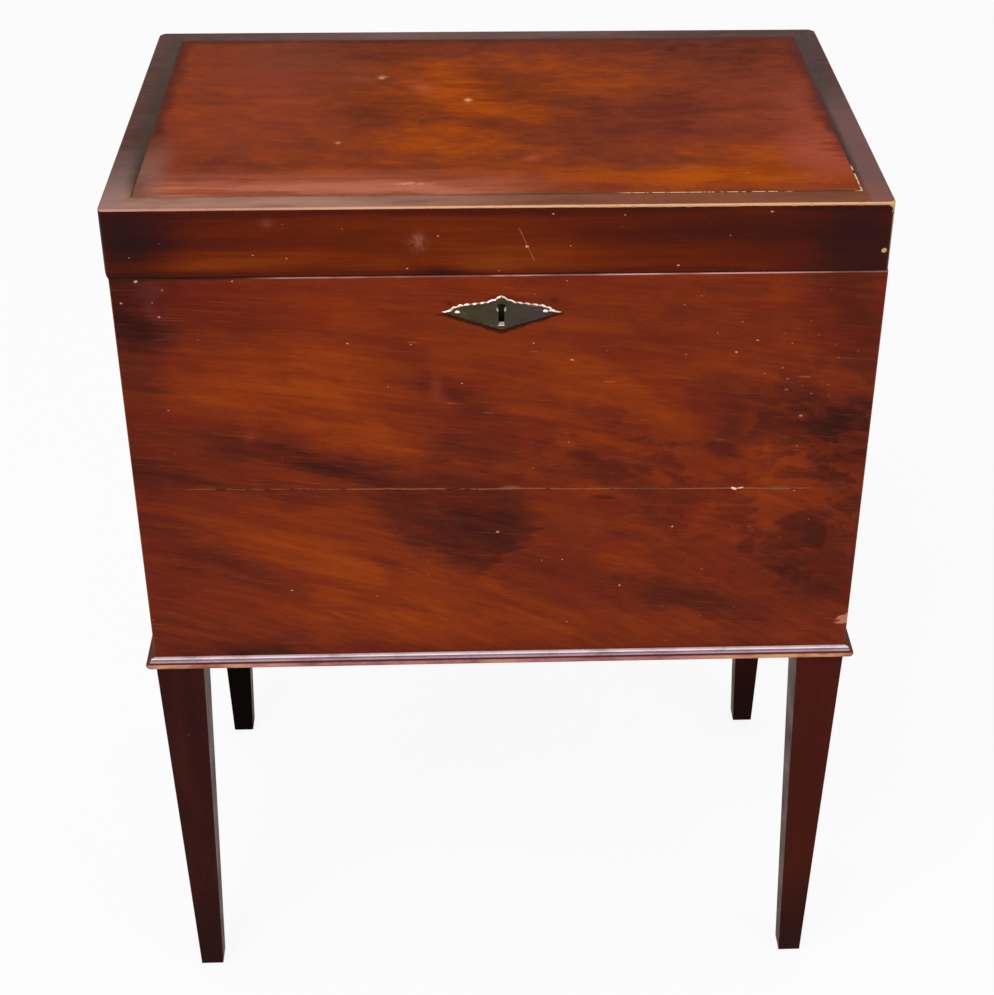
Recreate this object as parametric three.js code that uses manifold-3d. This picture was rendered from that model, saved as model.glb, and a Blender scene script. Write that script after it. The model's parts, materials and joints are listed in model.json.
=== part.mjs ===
// A free-standing mahogany wine cellarette: a case for bottles with a hinged box lid, on four tapered legs.
// Millimetres. +X is right, +Y is back, +Z is up; the front faces -Y and the feet stand at z = 0.
// The origin is on the floor, under the middle of the whole object's box.

import * as THREE from 'three'
import * as BufferGeometryUtils from 'three/addons/utils/BufferGeometryUtils.js'
import Module from 'manifold-3d'

const wasm = await Module()
wasm.setup()

// Overall sizes
const case_width = 496
const case_depth = 322
const case_height = 306
const leg_height = 309
const lid_height = 47.5

// Clearances shared by all pieces
const joint_gap = 0.3
const running_gap = 0.2
const cut_overrun = 1
const weld_distance = 1e-5

// Case boards
const board_thickness = 12
const front_lower_height = 145
const bottom_thickness = 9
const bottom_housing = 4
const bearer_height = 18
const bearer_width = 40

// Lapped dovetails at the corners of case and lid
const dovetail_lap = 3
const dovetail_spacing = 22
const dovetail_width_share = 0.66
const dovetail_splay = 1.6

// Legs
const leg_width = 34
const leg_outer_taper = 6.1
const leg_inner_taper = 10.8
const foot_rounding = 1.6
const tenon_width = 14
const tenon_length = 15
const tenon_shoulder = 4

// Base moulding: a torus below and two reeds above it
const moulding_projection = 6.5
const torus_height = 3
const reed_height = 1.7
const reed_projection = 4.6
const reed_step_back = 1.3
const moulding_top_fillet = 0.6

// Bottle partitions
const divider_thickness = 6
const divider_below_seam = 79
const divider_housing = 2
const bottles_across = 4
const bottles_deep = 3

// Lid
const lid_left_overhang = 2
const lid_board_thickness = 9
const lid_board_rebate = 6
const veneer_thickness = 1.2
const band_width = 18
const band_arris_share = 0.75
const string_width = 1

// Escutcheon, keyhole and escutcheon pins
const escutcheon_width = 77.5
const escutcheon_height = 26
const escutcheon_thickness = 1.2
const escutcheon_bevel = 0.4
const escutcheon_below_seam = 26.6
const scallops_per_side = 7
const scallop_depth = 0.75
const scallop_steps = 4
const keyhole_radius = 3.15
const keyhole_slot_width = 3.9
const keyhole_drop = 12.3
const keyhole_below_seam = 22.8
const escutcheon_pin_spread = 56.6
const escutcheon_pin_rise = 0.7
const escutcheon_pin_head_radius = 1.9
const escutcheon_pin_head_height = 1.1
const escutcheon_pin_radius = 0.8
const escutcheon_pin_length = 9

// Box lock in the upper front board
const lock_pin_clearance = 2.5
const lock_sole = 2
const lock_thickness = 8
const lock_wall = 1.2
const lock_ear = 7
const lock_plate_thickness = 2
const lock_plate_lip = 2
const bolt_travel = 6.5
const bolt_bar_height = 5.5
const bolt_bar_below_seam = 11
const talon_width = 9
const talon_depth = 3.5
const prong_width = 3.5
const prong_thickness = 2.4
const finger_height = 2.6
const guide_width = 6
const guide_height = 2.2
const eye_clearance = 0.4

// Link plate on the lid, with two eyes that reach down into the lock
const link_width = 50
const link_thickness = 2
const link_screw_inset = 4.5
const hook_thickness = 3
const hook_wall = 0.9
const hook_foot = 1.3

// Stopped butt hinges
const hinge_length = 51
const hinge_inset = 88
const leaf_lip = 2
const leaf_thickness = 2
const knuckle_radius = 3
const knuckle_count = 5
const hinge_pin_radius = 1.25
const hinge_pin_chamfer = 0.4
const stop_reach = 5
const stop_heel = 2.4
const stop_angle = THREE.MathUtils.degToRad(48.5)
const screws_per_leaf = 2
const leaf_screw_spacing = 28

// Countersunk wood screws
const screw_head_radius = 2.3
const screw_head_height = 1.5
const screw_radius = 1.25
const screw_length = 12
const screw_tip_length = 3
const screw_slot_width = 0.6
const screw_slot_depth = 0.6

// How finely curves are divided
const round_segments = 24
const screw_segments = 12
const arris_steps = 4

// Places worked out from the sizes above, in the frame of the case: x = 0 at its middle,
// y = 0 on its front face, z = 0 under its bottom edge
const half_width = case_width / 2
const inner_half_width = half_width - board_thickness
const inner_back = case_depth - board_thickness
const bottom_top = bearer_height + bottom_thickness
const seam = case_height + joint_gap
const hinge_axis_height = case_height + joint_gap / 2
const whole_front = -moulding_projection
const whole_back = case_depth + stop_reach

// Materials
function wood(color, roughness) {
  return new THREE.MeshStandardMaterial({ color, roughness, metalness: 0 })
}

function metal(color, roughness) {
  return new THREE.MeshStandardMaterial({ color, roughness, metalness: 0.9 })
}

const case_wood = () => wood(0x7a2a12, 0.35)
const lid_wood = () => wood(0x5c2210, 0.32)
const field_veneer = () => wood(0x9c3c14, 0.25)
const band_veneer = () => wood(0x5a2416, 0.28)
const string_wood = () => wood(0xb98a5a, 0.4)
const leg_wood = () => wood(0x3d1810, 0.38)
const moulding_wood = () => wood(0x74301c, 0.3)
const inner_wood = () => wood(0x8a5a34, 0.6)
const aged_brass = () => metal(0x7d6f4c, 0.38)
const old_iron = () => metal(0x4b4744, 0.55)

// A copy of a geometry that holds only shared corner points, and no triangle folded onto a line
function welded(geometry) {
  const bare = geometry.clone()
  bare.deleteAttribute('normal')
  bare.deleteAttribute('uv')
  const merged = BufferGeometryUtils.mergeVertices(bare, weld_distance)
  const index = merged.getIndex()
  const kept = []
  for (let at = 0; at < index.count; at += 3) {
    const corners = [index.getX(at), index.getX(at + 1), index.getX(at + 2)]
    if (new Set(corners).size === 3) kept.push(...corners)
  }
  merged.setIndex(kept)
  return merged
}

// Six times the signed volume, positive when the faces point out
function signed_volume(geometry) {
  const place = geometry.getAttribute('position')
  const index = geometry.getIndex()
  const corners = [new THREE.Vector3(), new THREE.Vector3(), new THREE.Vector3()]
  let sum = 0
  for (let at = 0; at < index.count; at += 3) {
    corners.forEach((corner, step) => corner.fromBufferAttribute(place, index.getX(at + step)))
    sum += corners[0].dot(corners[1].cross(corners[2]))
  }
  return sum
}

// The same geometry with its faces pointing out
function faced_out(geometry) {
  const closed = welded(geometry)
  if (signed_volume(closed) < 0) {
    const order = closed.getIndex()
    for (let at = 0; at < order.count; at += 3) {
      const second = order.getX(at + 1)
      order.setX(at + 1, order.getX(at + 2))
      order.setX(at + 2, second)
    }
  }
  return closed
}

function to_manifold(geometry) {
  const closed = faced_out(geometry)
  const vertProperties = new Float32Array(closed.getAttribute('position').array)
  const triVerts = new Uint32Array(closed.getIndex().array)
  return new wasm.Manifold(new wasm.Mesh({ numProp: 3, vertProperties, triVerts }))
}

function from_manifold(solid) {
  const mesh = solid.getMesh()
  const geometry = new THREE.BufferGeometry()
  geometry.setAttribute('position', new THREE.BufferAttribute(new Float32Array(mesh.vertProperties), 3))
  geometry.setIndex(new THREE.BufferAttribute(new Uint32Array(mesh.triVerts), 1))
  return geometry
}

function joined(first, ...others) {
  return from_manifold(others.reduce((whole, next) => whole.add(to_manifold(next)), to_manifold(first)))
}

function without(whole, ...cuts) {
  return from_manifold(cuts.reduce((rest, next) => rest.subtract(to_manifold(next)), to_manifold(whole)))
}

// Moves every point of a geometry by a rule that takes and returns [x, y, z]
function mapped(geometry, rule) {
  const copy = geometry.clone()
  const place = copy.getAttribute('position')
  for (let at = 0; at < place.count; at += 1) {
    place.setXYZ(at, ...rule([place.getX(at), place.getY(at), place.getZ(at)]))
  }
  return copy
}

// A box between two values on each axis
function block([x_low, x_high], [y_low, y_high], [z_low, z_high]) {
  const pick = (share, low, high) => (share < 0 ? low : high)
  return mapped(new THREE.BoxGeometry(1, 1, 1), ([x, y, z]) => [
    pick(x, x_low, x_high), pick(y, y_low, y_high), pick(z, z_low, z_high),
  ])
}

// Where a prism's outline (u, v) and length w lie on the axes, for each axis that it can run along
const prism_axes = {
  x: (u, v, w) => [w, u, v],
  y: (u, v, w) => [u, w, v],
}

// A prism of an outline of [u, v] points from one end to the other along an axis.
// A mitre moves an end by that many times the point's first coordinate u.
function prism(outline, axis, [low, high], { mitre_low = 0, mitre_high = 0 } = {}) {
  const shape = new THREE.Shape(outline.map(([u, v]) => new THREE.Vector2(u, v)))
  const flat = new THREE.ExtrudeGeometry(shape, { depth: 1, bevelEnabled: false })
  return mapped(flat, ([u, v, end]) => {
    const w = end < 0.5 ? low + mitre_low * u : high + mitre_high * u
    return prism_axes[axis](u, v, w)
  })
}

// The points of an arc about a centre
function arc_points([centre_u, centre_v], radius, from, to, steps) {
  return Array.from({ length: steps + 1 }, (_, step) => {
    const angle = from + ((to - from) * step) / steps
    return [centre_u + radius * Math.cos(angle), centre_v + radius * Math.sin(angle)]
  })
}

// A round bar along an axis, through a centre given by its two other coordinates
function bar(axis, centre, radius, ends) {
  return prism(arc_points(centre, radius, 0, 2 * Math.PI, round_segments).slice(0, -1), axis, ends)
}

// A lathe-turned body standing on +Z or hanging along another direction, from [radius, height] points
function turned(profile, segments, [x, y, z], direction) {
  const points = profile.map(([radius, height]) => new THREE.Vector2(radius, height))
  const body = new THREE.LatheGeometry(points, segments)
  const turn = new THREE.Quaternion().setFromUnitVectors(new THREE.Vector3(0, 1, 0), direction)
  body.applyQuaternion(turn)
  body.translate(x, y, z)
  return body
}

const up = new THREE.Vector3(0, 0, 1)
const down = new THREE.Vector3(0, 0, -1)
const backward = new THREE.Vector3(0, 1, 0)

function piece(name, geometry, material) {
  const mesh = new THREE.Mesh(faced_out(geometry), material)
  mesh.name = name
  return mesh
}

// Wood screws: the head's flat top is at the given height, and the shank goes into the wood
function screw(name, [x, y, z], direction) {
  const shank_end = screw_length - screw_tip_length
  const body = turned([
    [0, 0],
    [screw_head_radius, 0],
    [screw_radius, screw_head_height],
    [screw_radius, shank_end],
    [0, screw_length],
  ], screw_segments, [x, y, z], direction)
  const slot_floor = z + direction.z * screw_slot_depth
  const slot_mouth = z - direction.z * cut_overrun
  const slot = block(
    [x - screw_head_radius - cut_overrun, x + screw_head_radius + cut_overrun],
    [y - screw_slot_width / 2, y + screw_slot_width / 2],
    [Math.min(slot_floor, slot_mouth), Math.max(slot_floor, slot_mouth)],
  )
  return piece(name, without(body, slot), aged_brass())
}

// The hole that takes a screw, with its countersink and pilot
function screw_hole([x, y, z], direction) {
  return turned([
    [0, -cut_overrun],
    [screw_head_radius + joint_gap, -cut_overrun],
    [screw_head_radius + joint_gap, joint_gap],
    [screw_radius + joint_gap, screw_head_height + joint_gap],
    [screw_radius + joint_gap, screw_length - screw_tip_length + joint_gap],
    [0, screw_length + joint_gap],
  ], screw_segments, [x, y, z], direction)
}

// Dovetails on one end of a side board, seen from the side: wide at the tip, narrow at the root.
// wide adds the clearance when the same shape is cut from the board that laps it.
function dovetails([x_low, x_high], [z_low, z_high], root_y, tip_y, wide) {
  const count = Math.max(1, Math.round((z_high - z_low) / dovetail_spacing))
  const pitch = (z_high - z_low) / count
  const half_tip = (pitch * dovetail_width_share) / 2 + wide
  const half_root = half_tip - dovetail_splay
  const toward_root = Math.sign(root_y - tip_y)
  const root = root_y + toward_root * (wide > 0 ? cut_overrun : 0)
  const tip = tip_y - toward_root * wide
  const x_ends = wide > 0 ? spread_outward([x_low, x_high]) : [x_low, x_high]
  return Array.from({ length: count }, (_, step) => {
    const middle = z_low + pitch * (step + 0.5)
    return prism([
      [root, middle - half_root],
      [root, middle + half_root],
      [tip, middle + half_tip],
      [tip, middle - half_tip],
    ], 'x', x_ends)
  })
}

// The ends of a cut in a corner: past the outer face, and clear of the tail on the inner side
function spread_outward([x_low, x_high]) {
  return Math.abs(x_low) > Math.abs(x_high)
    ? [x_low - cut_overrun, x_high + joint_gap]
    : [x_low - joint_gap, x_high + cut_overrun]
}

// The x ranges of the left and right walls of a box
function wall_ranges(left, right) {
  return { left: [left, left + board_thickness], right: [right - board_thickness, right] }
}

// A side wall with dovetails at both ends
function side_wall(x_range, z_range) {
  const wall = block(x_range, [board_thickness, inner_back], z_range)
  const front_tails = dovetails(x_range, z_range, board_thickness, dovetail_lap, 0)
  const back_tails = dovetails(x_range, z_range, inner_back, case_depth - dovetail_lap, 0)
  return joined(wall, ...front_tails, ...back_tails)
}

// The sockets that a front or back wall needs for the tails of both side walls
function tail_sockets(walls, z_range, at_back) {
  const root = at_back ? inner_back : board_thickness
  const tip = at_back ? case_depth - dovetail_lap : dovetail_lap
  return Object.values(walls).flatMap((x_range) => dovetails(x_range, z_range, root, tip, joint_gap))
}

// Bottle partitions, and where they stand
const case_walls = wall_ranges(-half_width, half_width)
const cell_width = (2 * inner_half_width - (bottles_across - 1) * divider_thickness) / bottles_across
const cell_depth = (inner_back - board_thickness - (bottles_deep - 1) * divider_thickness) / bottles_deep
const cross_places = Array.from({ length: bottles_across - 1 }, (_, step) => {
  const low = -inner_half_width + (step + 1) * cell_width + step * divider_thickness
  return [low, low + divider_thickness]
})
const long_places = Array.from({ length: bottles_deep - 1 }, (_, step) => {
  const low = board_thickness + (step + 1) * cell_depth + step * divider_thickness
  return [low, low + divider_thickness]
})
const divider_range = [bottom_top, case_height - divider_below_seam]
const lap_height = (divider_range[0] + divider_range[1]) / 2

const widened = ([low, high]) => [low - joint_gap, high + joint_gap]

function divider_pieces() {
  const long_names = ['divider_long_front', 'divider_long_back']
  const cross_names = ['divider_cross_left', 'divider_cross_middle', 'divider_cross_right']
  const top_slots = cross_places.map((place) => block(
    widened(place), [0, case_depth], [lap_height - joint_gap / 2, divider_range[1] + cut_overrun],
  ))
  const bottom_slots = long_places.map((place) => block(
    [-half_width, half_width], widened(place), [divider_range[0] - cut_overrun, lap_height + joint_gap / 2],
  ))
  const reach = divider_housing - joint_gap
  const long_ones = long_places.map((place, step) => piece(
    long_names[step],
    without(block([-inner_half_width - reach, inner_half_width + reach], place, divider_range), ...top_slots),
    inner_wood(),
  ))
  const cross_ones = cross_places.map((place, step) => piece(
    cross_names[step],
    without(block(place, [board_thickness - reach, inner_back + reach], divider_range), ...bottom_slots),
    inner_wood(),
  ))
  return [...long_ones, ...cross_ones]
}

// Grooves in the case walls: for the bottom board, and upright ones for the partitions
const groove_top = divider_range[1] + joint_gap

function bottom_groove() {
  const reach = bottom_housing + joint_gap
  return block(
    [-inner_half_width - reach, inner_half_width + reach],
    [board_thickness - reach, inner_back + reach],
    [bearer_height, bottom_top + joint_gap],
  )
}

function cross_grooves() {
  return cross_places.map((place) => block(
    widened(place), [board_thickness - divider_housing, inner_back + divider_housing],
    [bottom_top - cut_overrun, groove_top],
  ))
}

function long_grooves() {
  return long_places.map((place) => block(
    [-inner_half_width - divider_housing, inner_half_width + divider_housing], widened(place),
    [bottom_top - cut_overrun, groove_top],
  ))
}

// Keyhole outline about the middle of its round part, [x, z]
function keyhole_outline(grown) {
  const half_slot = keyhole_slot_width / 2 + grown
  const radius = keyhole_radius + grown
  const slot_angle = Math.asin(half_slot / radius)
  const centre_height = case_height - keyhole_below_seam
  const round = arc_points(
    [0, centre_height], radius, -Math.PI / 2 + slot_angle, (3 * Math.PI) / 2 - slot_angle, round_segments,
  )
  const floor_height = centre_height - keyhole_drop - grown
  return [...round, [-half_slot, floor_height], [half_slot, floor_height]]
}

// Escutcheon: a lozenge whose four sides are rows of small scallops
function scalloped_lozenge(inset) {
  const half_across = escutcheon_width / 2 - inset
  const half_up = escutcheon_height / 2 - inset * (escutcheon_height / escutcheon_width) - inset
  const tips = [[half_across, 0], [0, half_up], [-half_across, 0], [0, -half_up]]
  const steps = scallops_per_side * scallop_steps
  return tips.flatMap(([from_x, from_z], side) => {
    const [to_x, to_z] = tips[(side + 1) % tips.length]
    const length = Math.hypot(to_x - from_x, to_z - from_z)
    const [out_x, out_z] = [(to_z - from_z) / length, (from_x - to_x) / length]
    return Array.from({ length: steps }, (_, step) => {
      const share = step / steps
      const swell = Math.abs(Math.sin(Math.PI * scallops_per_side * share)) * scallop_depth - scallop_depth
      const dip = step === 0 ? 0 : swell
      return [
        from_x + (to_x - from_x) * share + out_x * dip,
        from_z + (to_z - from_z) * share + out_z * dip,
      ]
    })
  })
}

const escutcheon_centre_height = case_height - escutcheon_below_seam
const pin_places = [-escutcheon_pin_spread / 2, escutcheon_pin_spread / 2]
const pin_height = escutcheon_centre_height + escutcheon_pin_rise

function pin_holes(y_range) {
  return pin_places.map((x) => bar('y', [x, pin_height], escutcheon_pin_radius + joint_gap, y_range))
}

function escutcheon_pieces() {
  const lifted = (outline) => outline.map(([x, z]) => [x, z + escutcheon_centre_height])
  const outer = lifted(scalloped_lozenge(0))
  const inner = lifted(scalloped_lozenge(escutcheon_bevel))
  const plate = prism(outer, 'y', [-escutcheon_thickness, 0])
  const bevelled = mapped(plate, ([x, y, z]) => {
    const misses = outer.map(([u, v]) => Math.hypot(u - x, v - z))
    const nearest = misses.indexOf(Math.min(...misses))
    return y < 0 ? [inner[nearest][0], y, inner[nearest][1]] : [x, y, z]
  })
  const keyhole = prism(keyhole_outline(0), 'y', [-escutcheon_thickness - cut_overrun, cut_overrun])
  const holes = pin_holes([-escutcheon_thickness - cut_overrun, cut_overrun])
  const pins = pin_places.map((x, step) => {
    const head_seat = escutcheon_pin_head_height
    const tip_start = head_seat + escutcheon_pin_length - 2 * escutcheon_pin_radius
    const dome = arc_points(
      [0, head_seat], escutcheon_pin_head_radius, -Math.PI / 2, 0, arris_steps,
    ).map(([radius, height]) => [
      radius,
      head_seat + (height - head_seat) * (escutcheon_pin_head_height / escutcheon_pin_head_radius),
    ])
    dome[0][0] = 0
    return piece(['escutcheon_pin_left', 'escutcheon_pin_right'][step], turned([
      ...dome,
      [escutcheon_pin_radius, head_seat],
      [escutcheon_pin_radius, tip_start],
      [0, head_seat + escutcheon_pin_length],
    ], round_segments, [x, -escutcheon_thickness - head_seat, pin_height], backward), aged_brass())
  })
  return [piece('escutcheon', without(bevelled, keyhole, ...holes), aged_brass()), ...pins]
}

// Lock: places shared by the recess in the front board, the lock, its bolt and the link plate
const lock_face = board_thickness - lock_thickness
const lock_half = escutcheon_pin_spread / 2 - escutcheon_pin_radius - lock_pin_clearance
const lock_top = case_height - lock_plate_thickness
const lock_floor = case_height - keyhole_below_seam - keyhole_drop - lock_sole
const lock_hollow_y = [lock_face + lock_wall, board_thickness - lock_wall]
const lock_middle_y = (lock_hollow_y[0] + lock_hollow_y[1]) / 2
const lock_screw_places = [-1, 1].map((side) => side * (lock_half + lock_ear / 2))
const bolt_top = case_height - bolt_bar_below_seam
const bolt_floor = bolt_top - bolt_bar_height
const bolt_end = lock_half - lock_wall - joint_gap
const hook_clearance = joint_gap + running_gap
const finger_tip = bolt_end - joint_gap - prong_width - bolt_travel
const hook_place = finger_tip - hook_clearance - hook_thickness / 2
const hook_places = [-hook_place, hook_place]
const hook_bottom = bolt_top + joint_gap
const finger_floor = hook_bottom + hook_foot + eye_clearance
const finger_range = [finger_floor, finger_floor + finger_height]
const finger_y = [lock_middle_y - prong_thickness / 2, lock_middle_y + prong_thickness / 2]
const eye_y = [finger_y[0] - eye_clearance, finger_y[1] + eye_clearance]
const eye_z = [finger_range[0] - eye_clearance, finger_range[1] + eye_clearance]
const hook_y = [eye_y[0] - hook_wall, eye_y[1] + hook_wall]

const around = (middle, width) => [middle - width / 2, middle + width / 2]

function lock_recess() {
  const body = block(
    widened([-lock_half, lock_half]),
    [lock_face - joint_gap, board_thickness + cut_overrun],
    [lock_floor - joint_gap, case_height + cut_overrun],
  )
  const plate = block(
    widened([-lock_half - lock_ear, lock_half + lock_ear]),
    [lock_plate_lip - joint_gap, board_thickness + cut_overrun],
    [lock_top, case_height + cut_overrun],
  )
  return [body, plate]
}

function lock_pieces() {
  const shell = block([-lock_half, lock_half], [lock_face, lock_hollow_y[1]], [lock_floor, lock_top])
  const plate = block(
    [-lock_half - lock_ear, lock_half + lock_ear], [lock_plate_lip, board_thickness], [lock_top, case_height],
  )
  const hollow = block(
    [-lock_half + lock_wall, lock_half - lock_wall],
    [lock_hollow_y[0], lock_hollow_y[1] + cut_overrun],
    [lock_floor + lock_wall, lock_top],
  )
  const guides = [-1, 1].map((side) => block(
    around(side * (lock_half - lock_wall - guide_width), guide_width),
    [lock_hollow_y[0] - lock_wall / 2, lock_middle_y],
    [bolt_floor - joint_gap - guide_height, bolt_floor - joint_gap],
  ))
  const through_front = [lock_face - cut_overrun, lock_hollow_y[0] + cut_overrun]
  const keyhole = prism(keyhole_outline(joint_gap), 'y', through_front)
  const slots = hook_places.map((x) => block(
    widened(around(x, hook_thickness)),
    widened([hook_y[0] - running_gap, hook_y[1] + running_gap]),
    [lock_top - cut_overrun, case_height + cut_overrun],
  ))
  const screw_holes = lock_screw_places.map((x) => screw_hole([x, lock_middle_y, case_height], down))
  const open_shell = without(shell, hollow)
  const cap = block([-lock_half, lock_half], [lock_hollow_y[1], board_thickness], [lock_floor, lock_top])
  const key_pivot = bar('y', [0, case_height - keyhole_below_seam], keyhole_slot_width / 2, [0, case_depth])
  const whole = joined(open_shell, plate, ...guides)
  return [
    piece('lock_case', without(whole, keyhole, ...slots, ...screw_holes), old_iron()),
    piece('lock_cap', without(cap, key_pivot), old_iron()),
    screw('lock_screw_left', [lock_screw_places[0], lock_middle_y, case_height], down),
    screw('lock_screw_right', [lock_screw_places[1], lock_middle_y, case_height], down),
  ]
}

// The bolt, drawn back: a bar with a talon for the key and two prongs whose fingers point right
function bolt_piece() {
  const [back, front] = [lock_hollow_y[0] + joint_gap, lock_hollow_y[1] - joint_gap]
  const tips = hook_places.map((x) => x - hook_thickness / 2 - hook_clearance)
  const bar_body = block([-bolt_end, tips[1] + bolt_travel], [back, front], [bolt_floor, bolt_top])
  const talon = block(
    around(0, talon_width), [0, case_depth], [bolt_floor - cut_overrun, bolt_floor + talon_depth],
  )
  const prongs = tips.flatMap((tip) => {
    const post = [tip - bolt_travel - prong_width, tip - bolt_travel]
    return [
      block(post, finger_y, [bolt_top - cut_overrun, finger_range[1]]),
      block([post[0], tip], finger_y, finger_range),
    ]
  })
  return piece('lock_bolt', joined(without(bar_body, talon), ...prongs), aged_brass())
}

// Hinges: a frame of their own, u back from the axis and v up from it
const hinge_places = [-half_width + hinge_inset, half_width - hinge_inset]
const leaf_face = joint_gap / 2
const leaf_width = board_thickness - leaf_lip
const leaf_screw_setback = (leaf_width + knuckle_radius + joint_gap) / 2
const knuckle_length = hinge_length / knuckle_count

function hinge_outlines(sign) {
  const stop_height = stop_reach * Math.tan(stop_angle)
  const stop_drop = stop_height + stop_heel
  return {
    plate: [
      [-leaf_width, sign * leaf_face],
      [0, sign * leaf_face],
      [0, sign * (leaf_face + leaf_thickness)],
      [-leaf_width, sign * (leaf_face + leaf_thickness)],
    ],
    stop: [[0, 0], [stop_reach, sign * stop_height], [stop_reach, sign * stop_drop], [0, sign * stop_drop]],
  }
}

const on_axis = (outline) => outline.map(([u, v]) => [case_depth + u, hinge_axis_height + v])

// The knuckles that belong to the case leaf are the first, third and fifth
function knuckle_ranges(x, on_case) {
  const first = on_case ? 0 : 1
  return Array.from({ length: knuckle_count }, (_, step) => step)
    .filter((step) => step % 2 === first)
    .map((step) => {
      const low = x - hinge_length / 2 + step * knuckle_length
      return [low, low + knuckle_length]
    })
}

const axis_centre = [case_depth, hinge_axis_height]

function leaf_screw_places(x) {
  return Array.from({ length: screws_per_leaf }, (_, step) => [
    x + (step - (screws_per_leaf - 1) / 2) * leaf_screw_spacing, case_depth - leaf_screw_setback,
  ])
}

function leaf(name, x, on_case) {
  const sign = on_case ? -1 : 1
  const x_range = around(x, hinge_length)
  const { plate, stop } = hinge_outlines(sign)
  const plate_body = prism(on_axis(plate), 'x', x_range)
  const stop_body = prism(on_axis(stop), 'x', x_range)
  const half_gap = joint_gap / 2
  const own = knuckle_ranges(x, on_case).map(([low, high]) => bar(
    'x', axis_centre, knuckle_radius, [low + half_gap, high - half_gap],
  ))
  const other = knuckle_ranges(x, !on_case).map(([low, high]) => bar(
    'x', axis_centre, knuckle_radius + joint_gap, [low - half_gap, high + half_gap],
  ))
  const bore = bar('x', axis_centre, hinge_pin_radius + running_gap, [
    x_range[0] - cut_overrun, x_range[1] + cut_overrun,
  ])
  const face = hinge_axis_height + sign * leaf_face
  const holes = leaf_screw_places(x).map(([at, y]) => screw_hole([at, y, face], on_case ? down : up))
  const relieved = without(joined(plate_body, stop_body), ...other)
  return piece(name, without(joined(relieved, ...own), bore, ...holes), aged_brass())
}

function hinge_pin(name, x) {
  const half = hinge_length / 2
  const profile = [
    [0, -half],
    [hinge_pin_radius - hinge_pin_chamfer, -half],
    [hinge_pin_radius, hinge_pin_chamfer - half],
    [hinge_pin_radius, half - hinge_pin_chamfer],
    [hinge_pin_radius - hinge_pin_chamfer, half],
    [0, half],
  ]
  const along = new THREE.Vector3(1, 0, 0)
  return piece(name, turned(profile, round_segments, [x, ...axis_centre], along), aged_brass())
}

// The mortise for one leaf and the barrel, cut in the case (sign -1) or in the lid (sign 1)
function leaf_mortise(x, sign) {
  const x_range = widened(around(x, hinge_length))
  const floor = hinge_axis_height + sign * (leaf_face + leaf_thickness)
  const mouth = hinge_axis_height - sign * cut_overrun
  const plate = block(
    x_range,
    [case_depth - leaf_width - joint_gap, case_depth + cut_overrun],
    [Math.min(floor, mouth), Math.max(floor, mouth)],
  )
  const barrel = bar('x', axis_centre, knuckle_radius + 2 * joint_gap, x_range)
  return [plate, barrel]
}

function leaf_pilots(x, on_case) {
  const face = hinge_axis_height + (on_case ? -1 : 1) * leaf_face
  return leaf_screw_places(x).map(([at, y]) => screw_hole([at, y, face], on_case ? down : up))
}

// Where a leg's outer and inner faces are, from its outer corner, at a height below the case
function leg_faces(height) {
  const lean = -height / leg_height
  return [leg_outer_taper * lean, leg_width - leg_inner_taper * lean]
}

// A place on a leg, from its outer corner inward along both sides
function from_leg_corner(side_x, side_y, [inward_x, inward_y]) {
  return [side_x * (half_width - inward_x), side_y < 0 ? inward_y : case_depth - inward_y]
}

// The tenon of a leg, or its mortise when it is grown by a clearance
function leg_tenon(side_x, side_y, grown, bottom) {
  const inward = board_thickness + tenon_shoulder + tenon_width / 2
  const [middle_x, middle_y] = from_leg_corner(side_x, side_y, [inward, inward])
  const width = tenon_width + 2 * grown
  return block(around(middle_x, width), around(middle_y, width), [bottom, tenon_length + grown])
}

// Tapered legs: the outer and front faces lean in less than the inner ones
function leg(name, side_x, side_y) {
  const levels = [[-leg_height, foot_rounding], [foot_rounding - leg_height, 0], [0, 0]]
  const body = mapped(new THREE.BoxGeometry(1, 1, 1, 1, 1, levels.length - 1), ([x, y, z]) => {
    const [height, inset] = levels[Math.round((z + 0.5) * (levels.length - 1))]
    const [outer, inner] = leg_faces(height)
    const inward = [x, y].map((side) => (side < 0 ? outer + inset : inner - inset))
    return [...from_leg_corner(side_x, side_y, inward), height]
  })
  return piece(name, joined(body, leg_tenon(side_x, side_y, 0, -cut_overrun)), leg_wood())
}

function leg_mortises() {
  const sides = [-1, 1]
  return sides.flatMap((side_x) => sides.map((side_y) => leg_tenon(side_x, side_y, joint_gap, -cut_overrun)))
}

function bearer_pieces() {
  const across = [-inner_half_width, inner_half_width]
  const height = [0, bearer_height]
  const front = block(across, [board_thickness, board_thickness + bearer_width], height)
  const back = block(across, [inner_back - bearer_width, inner_back], height)
  return [
    piece('bearer_front', without(front, ...leg_mortises()), inner_wood()),
    piece('bearer_back', without(back, ...leg_mortises()), inner_wood()),
  ]
}

function bottom_piece() {
  return piece('bottom_board', block(
    [-inner_half_width - bottom_housing, inner_half_width + bottom_housing],
    [board_thickness - bottom_housing, inner_back + bottom_housing],
    [bearer_height, bottom_top],
  ), inner_wood())
}

// The moulding's section, [outward, up], with its flat back against the case
function moulding_outline() {
  const torus_radius = torus_height / 2
  const half_round = [-Math.PI / 2, Math.PI / 2, 2 * arris_steps]
  const torus = arc_points([moulding_projection - torus_radius, torus_radius], torus_radius, ...half_round)
  const reed_radius = reed_height / 2
  const reeds = [0, 1].flatMap((step) => arc_points(
    [reed_projection - step * reed_step_back - reed_radius, torus_height + reed_radius + step * reed_height],
    reed_radius, ...half_round,
  ))
  const top = torus_height + 2 * reed_height
  const fillet = [[reed_projection - 2 * reed_step_back, top], [0, top + moulding_top_fillet]]
  return [[0, 0], ...torus, ...reeds, ...fillet]
}

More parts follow.
